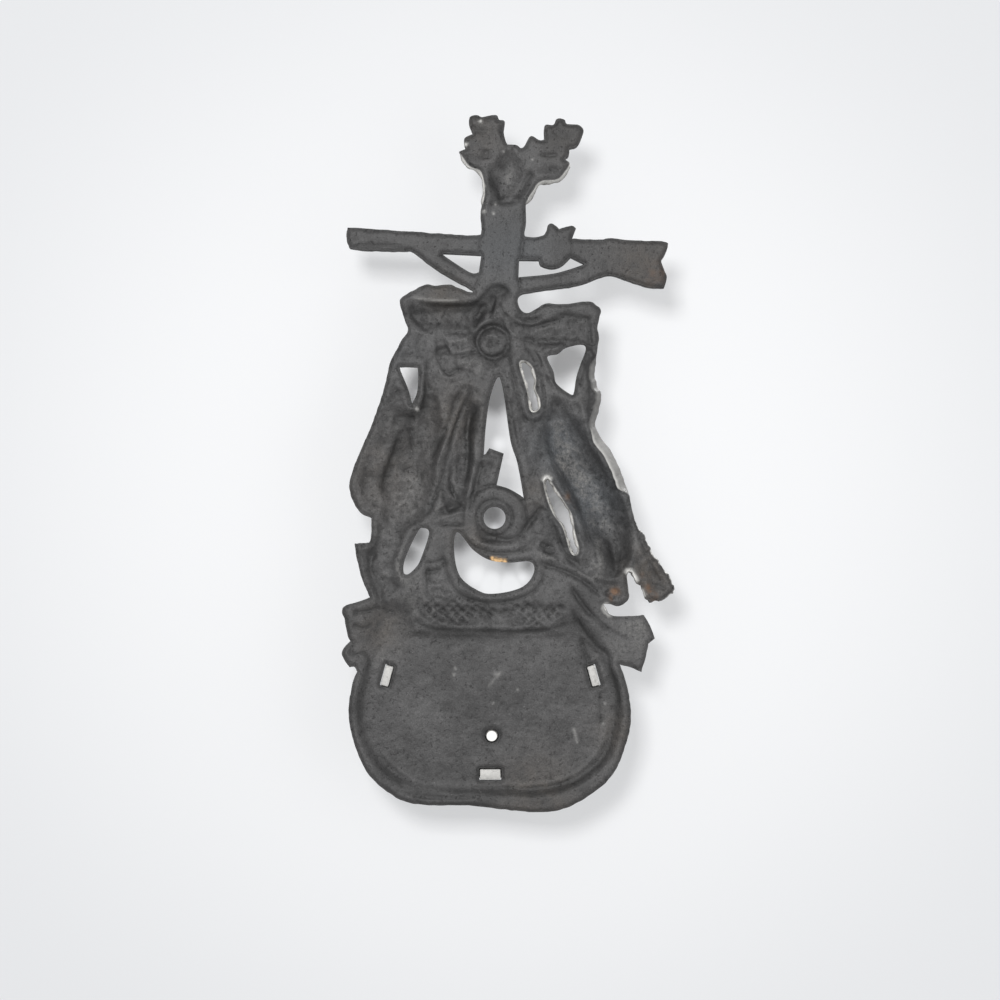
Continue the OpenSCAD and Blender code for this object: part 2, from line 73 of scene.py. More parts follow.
# Edges of the plate, where a third number marks a sharp corner
PLATE_EDGE: Path = (
    (-8.2, 127.7), (-8, 130.4), (-5.8, 131.1), (-3.9, 130.5), (0.4, 131.1), (1.5, 129.6),
    (3.3, 128.9), (3, 124.7), (4.2, 121.5, 1), (7.2, 121.3), (8.6, 120.4), (9.9, 121.2),
    (11.8, 124.2), (14.8, 122.9), (16.2, 123.1, 1), (16.3, 127.5), (19.1, 127.9), (20, 129.5),
    (21.2, 130), (22.9, 129.5), (23.7, 128.2), (27.3, 127.9), (29, 125.8), (27, 121.2),
    (24.3, 120, 1), (24, 117.7), (22.8, 116.8, 1), (24.4, 115.3), (23.2, 112.8), (20.5, 110.1),
    (14.8, 109.2), (12.6, 106.2), (10.2, 102.3, 1), (10.2, 96.3), (9.7, 92.5), (10.7, 91.4),
    (15.3, 91.7), (16.7, 93.1), (17.5, 95.2), (18.9, 95.7), (21, 94, 1), (25.1, 95.1),
    (26.5, 94.2, 1), (25.2, 90.9, 1), (34.3, 90.5), (37.5, 91), (44.6, 90.3), (55.2, 89.9),
    (56.4, 88.3), (55.2, 85.2), (54.2, 83.3), (55.4, 80.3), (56, 78.2), (55.1, 74.8, 1), (50, 75),
    (45.1, 76.5), (37.3, 78.8), (30, 76.4), (25.1, 75.2), (14.8, 73.8), (8.8, 72.7), (7.6, 70.6),
    (8.6, 67.6), (11, 66.6), (14.2, 68.4), (17, 69.9), (21.8, 69.5), (30, 70.4), (33.2, 69.2),
    (34.6, 67.3), (33.5, 62.2), (34, 58.9), (33.4, 53.5), (33.2, 46), (34.9, 38.9), (33.2, 31.3),
    (33.8, 28), (38.9, 20.7), (43, 10.7), (45.4, 0.1), (48.6, -5.6), (52.7, -12.9), (58.7, -21.8),
    (58.4, -24.8, 1), (53.5, -27.5), (50, -27.2), (46.5, -21.3), (44.4, -17.6), (43, -18.6),
    (43.7, -25.6), (42.4, -27.8), (40.2, -28.7), (37.6, -28), (35.4, -28.3), (37.3, -31.3),
    (40.2, -32.1), (48.6, -31.7, 1), (50.5, -34.8), (52.1, -39.1, 1), (50, -41, 1), (49.5, -44),
    (47.8, -50.1, 1), (44, -48.6), (40.8, -47.7, 1), (43.2, -55.1), (44.4, -64.6), (42.4, -74.6),
    (37, -85.2), (25.1, -93.6), (13.7, -95.7), (0.2, -94.5), (-11.2, -93.4), (-19.3, -93.6),
    (-30.2, -91.8), (-39.9, -84.6), (-45.1, -74.9), (-47.5, -63.5), (-46.4, -54.8), (-44.8, -50, 1),
    (-45.6, -48.5), (-47.2, -48.6, 1), (-49.7, -44), (-46.9, -40, 1), (-47.8, -38.1),
    (-48.6, -33.7), (-49.6, -30.2), (-48.6, -28.6), (-44.3, -27.3), (-40.5, -25.9, 1),
    (-43.4, -19.1), (-45.4, -9.3), (-44.8, -8.4), (-40.7, -8, 1), (-40.1, -6.1), (-40.1, -0.1, 1),
    (-44.3, 2.5), (-47.2, 9.6), (-45.6, 16.9), (-40.2, 29.7), (-35.9, 42.1), (-34, 50.2),
    (-30.7, 57), (-28.2, 61), (-29.1, 64.1), (-30.8, 69.7), (-29.9, 71.9), (-24.8, 74.9),
    (-22.3, 75.9), (-19.3, 75.6), (-15, 76), (-11.8, 74.9), (-8.4, 73.6), (-7.4, 74.1),
    (-18.3, 80.3), (-26.4, 86.3), (-30.2, 86.7), (-45.1, 87.3), (-47.6, 88.8), (-48.2, 91.4),
    (-47.8, 93.9), (-46.5, 94.4), (-35, 93.7), (-12.8, 92.2), (-5.5, 92), (-4.3, 93.3),
    (-4.5, 99.6), (-3.3, 106.1), (-4.4, 112.3), (-8.5, 114.7), (-11.5, 119.1, 1), (-9.3, 120, 1),
    (-9.9, 121.8), (-9.6, 123.7), (-7, 124.9, 1))
BAG_FIELD: Path = (
    (28, -37.2), (32, -40.6), (36, -44.8), (38, -50), (39.7, -57), (40.2, -66), (38.6, -74),
    (34, -81), (24, -87), (13, -89.2), (0, -88.6), (-15, -88.2), (-28, -86.2), (-36, -82),
    (-42, -74), (-44.2, -66), (-44, -58), (-42.2, -50), (-40.4, -44), (-36.4, -38), (-30, -37))
# Drawn areas: the bag's shoulders, the net of its flap, and what sinks in from its edges
BAG_SHOULDER: Path = (
    (-42, -50), (-39, -30), (-28, -28), (-26, -43), (19, -43), (22, -33), (25.6, -31), (29.4, -37),
    (37, -45), (34, -54), (0, -60))
FLAP_FIELD: Path = (
    (-24, -29), (-19, -21), (-14, -24.5), (-8, -27.6), (1, -28.6), (9, -27.6), (14, -25), (18, -20),
    (22, -24), (23.6, -32), (16, -35.6), (0, -36.2), (-20, -35.6))
SOFT_AREA: Path = (
    (-34, 69), (-6, 69), (0, 74), (6, 69), (12, 66), (33, 65), (36, 40), (36, 26), (48, 0),
    (60, -24), (40, -30), (30, -20), (14, -9), (8, -8), (11, 3), (8, 12), (2, 12), (-8, 10),
    (-11, -2), (-22, -3), (-34, -26), (-42, -26), (-46, -8), (-48, 10))
# Openings
LEG_SLIT: Path = (
    (8.2, 49.7), (9.6, 51.1), (12.1, 49.4), (13.4, 45.4), (13.2, 42), (14.6, 38.6), (14.7, 35.8),
    (12.9, 34.5), (11.5, 35.6), (10.7, 41))
FLANK_SLIT: Path = (
    (16.1, 11.6), (17, 12.8), (18.3, 11.8), (23.5, 3.9), (25.1, 0.9), (26.2, -5), (27.4, -10.2),
    (26.4, -12.1), (24.6, -10.6), (22.4, -3.4), (19.1, 1.5), (17, 6.9))
PLAIN_GAPS: tuple[Path, ...] = (
    ((-16.7, 86, 1), (-4.3, 85.4, 1), (-5.1, 79.9, 1), (-8, 79.9), (-15.8, 84.9)),
    ((8, 83.8, 1), (14.4, 83.7, 1), (15.1, 82), (18.6, 81), (21.8, 81.9), (24.8, 84.7, 1),
        (29.2, 82.5, 1), (19.7, 79.6), (7.8, 78.3, 1)),
    ((-30.7, 48.2), (-30.2, 49.1), (-25, 49, 1), (-24.8, 45.4), (-25.3, 40.5), (-26.9, 37, 1),
        (-28, 41.6)),
    ((1.2, 46), (2.9, 41), (5.2, 25.3), (7.5, 17.7), (9.5, 6.6, 1), (7.4, 8), (4.2, 9.7),
        (0.7, 10.7, 1), (3, 21, 1), (-1.7, 22.7, 1), (-2.9, 20.8, 1), (-3.5, 20.6, 1), (-2.8, 30.2),
        (-1.4, 39.5)),
    ((17.2, 52.4), (20.7, 53.5), (23.2, 55.4), (28.1, 56.5), (29.8, 55.2), (28.1, 50.2),
        (26.7, 45.9), (25.9, 41), (24.8, 40.2), (20.2, 43.7), (19.2, 47.6)),
    ((-25.1, -4.5), (-23.1, -3.3), (-21.3, -5), (-23.9, -13.1), (-25.6, -16.1), (-28.3, -18.4),
        (-29.7, -17.5), (-29.1, -13.1)),
    ((-12, -4.6), (-13.2, -10.4), (-11.2, -19.1), (-4.7, -24), (0.2, -24.7), (7, -23.4), (11, -21),
        (13, -17), (11.5, -14.2), (5, -14.5), (-1.5, -13.7), (-6.9, -10.4)))


@dataclass(frozen=True)
class Limb:
    """Half round form or hollow along a spine of u, v, half width and share of the depth."""

    spine: Path
    depth: float


@dataclass(frozen=True)
class Stroke:
    """Groove, ridge or step along a path: a fall makes a step that runs out to the path's right."""

    MOST_OPEN = 0.72
    STEEPEST = 1.2

    width: float
    deep: float
    path: Path
    fall: float = 0.0

    @property
    def open_share(self) -> float:
        """Finds the share of its depth at which a groove's sides don't stand too steep.

        Returns:
            The share.
        """
        if self.fall or self.deep < 0:
            return self.MOST_OPEN
        return min(self.MOST_OPEN, self.STEEPEST * self.width / self.deep)


def strokes(*rows: tuple) -> tuple[Stroke, ...]:
    """Makes strokes from rows of a width, a depth, and a ring or the u and v of each point.

    Args:
        rows: The rows.

    Returns:
        The strokes.
    """
    made = []
    for width, deep, *path in rows:
        drawn = path[0] if len(path) == 1 else tuple(zip(path[::2], path[1::2]))
        made.append(Stroke(width, deep, drawn))
    return tuple(made)


def ring(u: float, v: float, radius: float, start: float = 0, end: float = 360,
         count: int = 33) -> Path:
    """Draws the points of a circle, or of a part of it between two angles in degrees."""
    turns = np.radians(np.linspace(start, end, count))
    return tuple((u + radius * math.cos(t), v + radius * math.sin(t)) for t in turns)


# Greater forms of the front, by name
LIMBS = {
    "head": Limb(((4.6, 120.4, 3, 0.5), (4.6, 115, 7, 0.9), (4.5, 109, 6, 1), (4, 103.6, 4.4, 0.8)),
        14),
    "post": Limb(((3, 103, 6.2, 0.8), (2.8, 96, 6.4, 1), (2.4, 85, 6.3, 1), (1.6, 74, 6, 0.9)), 9),
    "barrel": Limb(((-47.4, 90.9, 2.5, 0.95), (-30, 90.05, 2.9, 1), (-10, 89, 2.7, 1),
        (5, 88.5, 2.9, 1), (14, 87.8, 3, 1), (25, 87.4, 2.2, 1)), 7.5),
    "stock": Limb(((24, 87.6, 2.2, 1), (34, 85.9, 4.2, 1), (45, 83.4, 6, 1.06),
        (53.4, 82.2, 6.4, 1.06)), 7.5),
    "lock": Limb(((15, 87.8, 2.4, 0.9), (19.3, 88.6, 5.4, 1.1), (25, 90.8, 3, 0.95)), 7.5),
    "upper_fold": Limb(((-28.6, 69.4, 2, 0.75), (-23, 70.4, 4, 0.9), (-10, 69, 3.8, 1),
        (0, 67.6, 4, 1), (9, 62.8, 2.4, 0.9), (20, 65.4, 3, 0.9), (32, 66, 2.6, 0.75)), 9),
    "middle_fold": Limb(((-26, 61.4, 2.6, 0.75), (-14, 60, 4.4, 0.95), (0, 58.6, 3.8, 1),
        (14, 58.4, 2.4, 0.85), (31, 60.2, 2.6, 0.75)), 9),
    "bag_strap": Limb(((9, -10.8, 1.6, 0.75), (16, -13.4, 2, 0.9), (23, -18.6, 2.2, 0.9),
        (29.2, -26.6, 2.2, 0.9), (35.6, -36, 2.6, 0.85), (44, -42.4, 3.2, 0.7)), 9),
    "bird_body": Limb(((-22, 35, 4, 0.55), (-25, 29, 9, 0.85), (-28.4, 21, 11.4, 1),
        (-31.5, 12, 13.2, 1), (-34.4, 3, 8.6, 0.8), (-37, -5, 2.6, 0.5)), 12),
    "bird_wing": Limb(((-8.6, 45, 2.6, 0.5), (-10.2, 34, 5, 0.75), (-10.6, 20, 5.6, 0.85),
        (-13, 8, 5, 0.75), (-17, 0, 3, 0.5)), 12),
    "inner_leg": Limb(((5.4, 53, 2.4, 0.45), (5.9, 45, 2.9, 0.5), (7.2, 36, 2.6, 0.55),
        (11, 27, 4.6, 0.7), (17, 20, 5, 0.75)), 15),
    "outer_leg": Limb(((31.2, 55.6, 1.5, 0.42), (30.6, 49, 1.9, 0.45), (30, 42, 2.8, 0.5),
        (27.6, 34, 5, 0.65), (25.6, 26, 6, 0.8)), 15),
    "hare_body": Limb(((19, 36, 3.6, 0.45), (20, 28, 6.4, 0.75), (26.5, 19, 8.6, 0.95),
        (33, 8, 9, 1), (37.4, -3.4, 7.4, 0.95), (38.6, -14, 4.8, 0.75), (39.4, -25, 2.4, 0.5)),
        14.2),
    "hare_head": Limb(((43, -5, 3, 0.7), (48.4, -14, 3.2, 0.65), (53, -21, 3, 0.6),
        (55.6, -24.4, 2, 0.45)), 15),
    "fore_leg": Limb(((13, 10.4, 2.8, 0.45), (14, 1, 3.2, 0.52), (19.4, -7.6, 2.8, 0.45)), 15),
    "bag_flap": Limb(((-27, -28, 5, 0.8), (-14, -30, 5.6, 1), (0, -30.8, 5, 1), (12, -30, 5.4, 1),
        (22, -29, 5, 0.85)), 8)}

# Lesser forms of the front: antlers, ears, slings and ribbons
FRONT_LIMBS = (
    Limb(((2.6, 119, 1.8, 1), (-0.6, 123.4, 1.8, 1), (-4.6, 129.6, 1.4, 0.9)), 6.5),
    Limb(((-1.6, 124.4, 1.3, 1), (0.8, 127.4, 1.3, 0.95), (1.2, 130, 1, 0.85)), 6.4),
    Limb(((-1.6, 123.2, 1.4, 1), (-6, 122.8, 1.4, 0.95), (-9.4, 121, 1, 0.85)), 6.4),
    Limb(((8.2, 118.8, 1.8, 1), (13, 121.4, 1.9, 1), (18, 125.2, 1.7, 1), (22, 129.2, 1.3, 0.9)),
        6.5),
    Limb(((17.4, 124.6, 1.4, 1), (22, 125, 1.5, 0.95), (27.6, 126.4, 1.2, 0.85)), 6.4),
    Limb(((14, 121.6, 1.3, 1), (19, 119.6, 1.4, 0.95), (24.6, 120.8, 1, 0.85)), 6.4),
    Limb(((-1, 115.4, 1.6, 1), (-5.4, 116, 2, 1), (-10, 118, 1, 0.85)), 7),
    Limb(((10, 113.4, 1.6, 1), (16, 113.2, 2.2, 1), (22.6, 114.8, 1, 0.85)), 7),
    Limb(((-25, 85.4, 1.4, 0.9), (-16, 80.4, 1.7, 1), (-7, 76.2, 1.8, 1)), 6.2),
    Limb(((32, 79.6, 1.4, 0.9), (20, 76.6, 1.6, 1), (9.6, 75.4, 1.7, 1)), 6.2),
    Limb(((-40, -4, 1.6, 0.9), (-42, -14, 2, 1), (-38.6, -24, 2, 1), (-42, -33, 2.6, 1),
        (-46, -43, 2.4, 0.9)), 6.6),
    Limb(((-9.4, -6, 1.2, 0.9), (-5, -9.6, 1.6, 1), (1, -11.4, 1.6, 1), (7.4, -11, 1.6, 1),
        (12, -9.6, 1.2, 0.9)), 6.8),
    Limb(((-1, 11, 2, 0.95), (0.4, 16, 1.9, 1), (0.6, 21.4, 1.8, 0.95)), 6.8))

# Round bosses of the front: middle, radius, depth and softness of the edge
FRONT_BOSSES: Path = ((0, 0, 9.6, 7, 1), (0, 0, 5.5, 8.6, 0.6), (-0.6, 57, 4.9, 10, 1))

# Carving of the front: ridges stand out and grooves, below zero, sink in
FRONT_STROKES = strokes(
    # stag's face
    (0.6, 0.8, ring(0.9, 114.2, 0.7)), (0.6, 0.8, ring(8.3, 114.2, 0.7)),
    (0.5, -0.8, -0.6, 115.6, 0.8, 116.1, 2.4, 115.2),
    (0.5, -0.8, 9.8, 115.6, 8.4, 116.1, 6.8, 115.2), (0.5, -0.7, 2.2, 113, 2.5, 110, 2.4, 107),
    (0.5, -0.7, 7, 113, 6.6, 110, 6.6, 107), (0.45, -0.9, ring(2.8, 105.6, 0.5)),
    (0.45, -0.9, ring(6, 105.6, 0.5)), (0.4, -0.8, 2, 104.2, 4.3, 103.9, 6.6, 104.2),
    (0.4, -0.6, 3.4, 119.6, 3.8, 117.4, 4.4, 115.8),
    (0.4, -0.6, 5.8, 119.6, 5.4, 117.4, 4.9, 115.8),
    (0.5, -0.9, -2.6, 115.6, -5.6, 116, -8.6, 117.2),
    (0.5, -0.9, 12, 113.3, 16.4, 113.3, 20.6, 114.2),
    # bark of the post
    (0.5, -0.9, -2.4, 102, -2, 95, -2.6, 87, -2.2, 80, -2.8, 75),
    (0.5, -0.9, 0, 102.6, 0.6, 96, -0.2, 90, 0.4, 84, -0.2, 76),
    (0.5, -0.8, 2.6, 102, 2.2, 95.6, 3, 90, 2.2, 82, 2.6, 74.6),
    (0.5, -0.9, 5, 102.6, 5.6, 96, 4.6, 90, 5.2, 83, 4.4, 75),
    (0.5, -0.8, 7.4, 102, 7.6, 95, 7, 88, 7.4, 80, 6.6, 75), (0.5, 0.7, ring(3.9, 97, 1.5)),
    (0.5, 0.7, ring(0.9, 80.4, 1.3)),
    # rifle
    (0.4, 0.7, -38.4, 93, -38.5, 88.4), (0.4, 0.7, -24, 92.4, -24.1, 87.8),
    (0.4, 0.7, -12, 91.8, -12.1, 87), (0.4, 0.7, 13.4, 91, 13.2, 85),
    (0.35, -0.6, -46, 89.8, -30, 89.1, -14, 88.1), (0.35, -0.6, -46, 92.1, -30, 91.2, -14, 90.2),
    (0.5, 0.7, ring(19.6, 89, 2.4)), (0.5, 0.6, 19.6, 89, 22, 92, 25.4, 94),
    (0.4, -0.7, 25.4, 90, 25.8, 87.4, 25.2, 85.4), (0.4, -0.5, 27, 89.6, 31, 84),
    (0.4, -0.5, 29, 90, 33, 83.6), (0.4, -0.5, 31, 90, 35, 83),
    (0.5, -0.7, 51.4, 89, 50.6, 82, 50.4, 76.4), (0.5, 0.5, 38, 84.6, 43, 83.2, 48, 82.4),
    # cloth
    (0.8, -1.1, -28, 66, -20, 65.4, -12, 64.4, -4, 63.6),
    (0.7, 0.8, -27, 67.4, -19, 67, -10, 65.8, -3, 65.2),
    (0.7, -0.9, -26, 72.4, -18, 72, -10, 70.6, -4, 68.8),
    (0.7, -0.9, -23, 58.4, -14, 57.6, -6, 56.6), (0.7, 0.8, -25, 60.4, -16, 61.4, -8, 60.4),
    (0.7, -1, 6, 61, 14, 61.6, 22, 62.6, 31, 63), (0.7, 0.8, 6, 64.6, 13, 63.8, 22, 64.6, 32, 64.6),
    (0.7, -0.8, 6, 57.2, 16, 57, 26, 58.4), (0.6, -0.9, ring(-0.6, 57, 3.2)),
    (0.6, 0.7, ring(-0.6, 57, 0.9)), (0.8, -1, 1.4, 73, 0.4, 69, -0.8, 63.4),
    (0.8, -1, 4.6, 73, 4, 68.6, 2.4, 62.6),
    # bird: head, wings and tail
    (0.5, -0.9, -33.6, 50, -32.6, 44, -31.6, 38), (0.7, -1, -22.6, 52, -21.6, 44, -20.6, 37),
    (0.6, -1.1, -9, 44, -8.6, 36, -8, 26, -9.6, 14, -13, 5),
    (0.6, -1.1, -7, 42, -6.2, 32, -6, 22, -7.4, 12, -10, 5),
    (0.6, -1.1, -11, 43, -11.4, 34, -11.4, 24, -12.4, 14, -15, 5),
    (0.6, -1, -13.4, 38, -14, 28, -14.8, 18, -17, 8), (0.7, -1, -36, -2, -39, -8, -40.6, -14),
    (0.6, 0.8, ring(-38.4, -2.6, 0.6)),
    # hare: haunch, fore leg, ears and eye
    (0.8, -1.2, 14.6, 34, 16.6, 27, 20, 21, 24.6, 17),
    (0.8, -1, 26, 38, 27.4, 31, 27, 24, 24.6, 19), (0.7, -0.9, 12, 10, 13, 2, 18, -6),
    (0.6, -1, 44.6, -6, 48.6, -13, 53, -20.6), (0.6, -1, 38.6, -12, 39.2, -18, 39.6, -24),
    (0.6, 0.9, ring(37, -9.4, 0.8)), (0.5, -0.8, ring(37, -9.4, 1.7)),
    # flask
    (0.5, -0.8, ring(0, 0, 8.2)), (0.5, 0.7, ring(0, 0, 9.1)),
    (0.4, -0.7, -2.6, 13, 0.4, 12.6, 3, 12.2), (0.4, -0.7, -2.4, 18.4, 0.6, 18, 3, 17.6),
    # bag and ribbons
    (0.6, 0.8, -30, -36.8, -18, -37.4, 0, -37.8, 14, -37.6, 26, -36.4),
    (0.6, 0.9, -15.4, -5, -16.4, -13, -14.6, -20, -10.6, -25, -5, -27.4, 1, -27.8, 8, -26.4,
        13, -23.6, 16, -19),
    (0.5, -0.8, -26.4, -3, -31, -10, -32.4, -18, -28, -22.6),
    (0.6, -0.9, -47, -30.6, -42.4, -32, -37, -30), (0.6, -0.9, -46, -37, -43.4, -39, -42, -46),
    (0.6, -0.9, 38, -34, 43, -37, 49, -38.6), (0.6, -0.9, 41, -38, 44.6, -42, 47, -48))

# Hollows in the back, behind the greater forms
HOLLOWS = (
    Limb(((4.6, 119, 2, 0.4), (4.6, 114.6, 4.8, 0.9), (4.4, 109, 4.4, 1), (4, 104.8, 3, 0.6)), 2.4),
    Limb(((-26.4, 65.6, 1.6, 0.5), (-22, 65.6, 3.6, 0.9), (-14, 65.2, 4.2, 1), (-7, 66, 4, 1),
        (-2, 69.4, 3, 0.9), (2.2, 73, 2, 0.5)), 2.4),
    Limb(((-20.6, 38, 2.6, 0.35), (-22.6, 31, 6, 0.8), (-25.6, 22, 7.4, 1), (-28, 13, 8.6, 1),
        (-29.6, 4, 8, 0.8), (-32.5, -3, 3.6, 0.35)), 5),
    Limb(((-8.8, 42, 1.6, 0.4), (-10.4, 34, 3.4, 0.8), (-10.8, 20, 4, 1), (-13, 8, 3.6, 0.8),
        (-16.4, 1.5, 1.8, 0.4)), 3),
    Limb(((19.6, 37.6, 2.2, 0.3), (20.8, 32, 4.6, 0.6), (23, 26, 6.4, 0.85), (26.2, 18.6, 7.3, 1),
        (30.6, 10.6, 7.7, 1), (34.6, 2.8, 7.5, 1), (37.6, -4.5, 7.2, 0.9), (39.8, -10.5, 5.4, 0.55),
        (41.4, -15.5, 2.4, 0.25)), 6.9),
    Limb(((-25, -29, 2.6, 0.6), (-14, -31, 3.4, 1), (0, -32, 3.2, 1), (12, -31, 3.4, 1),
        (21, -29.5, 2.6, 0.6)), 1.4))

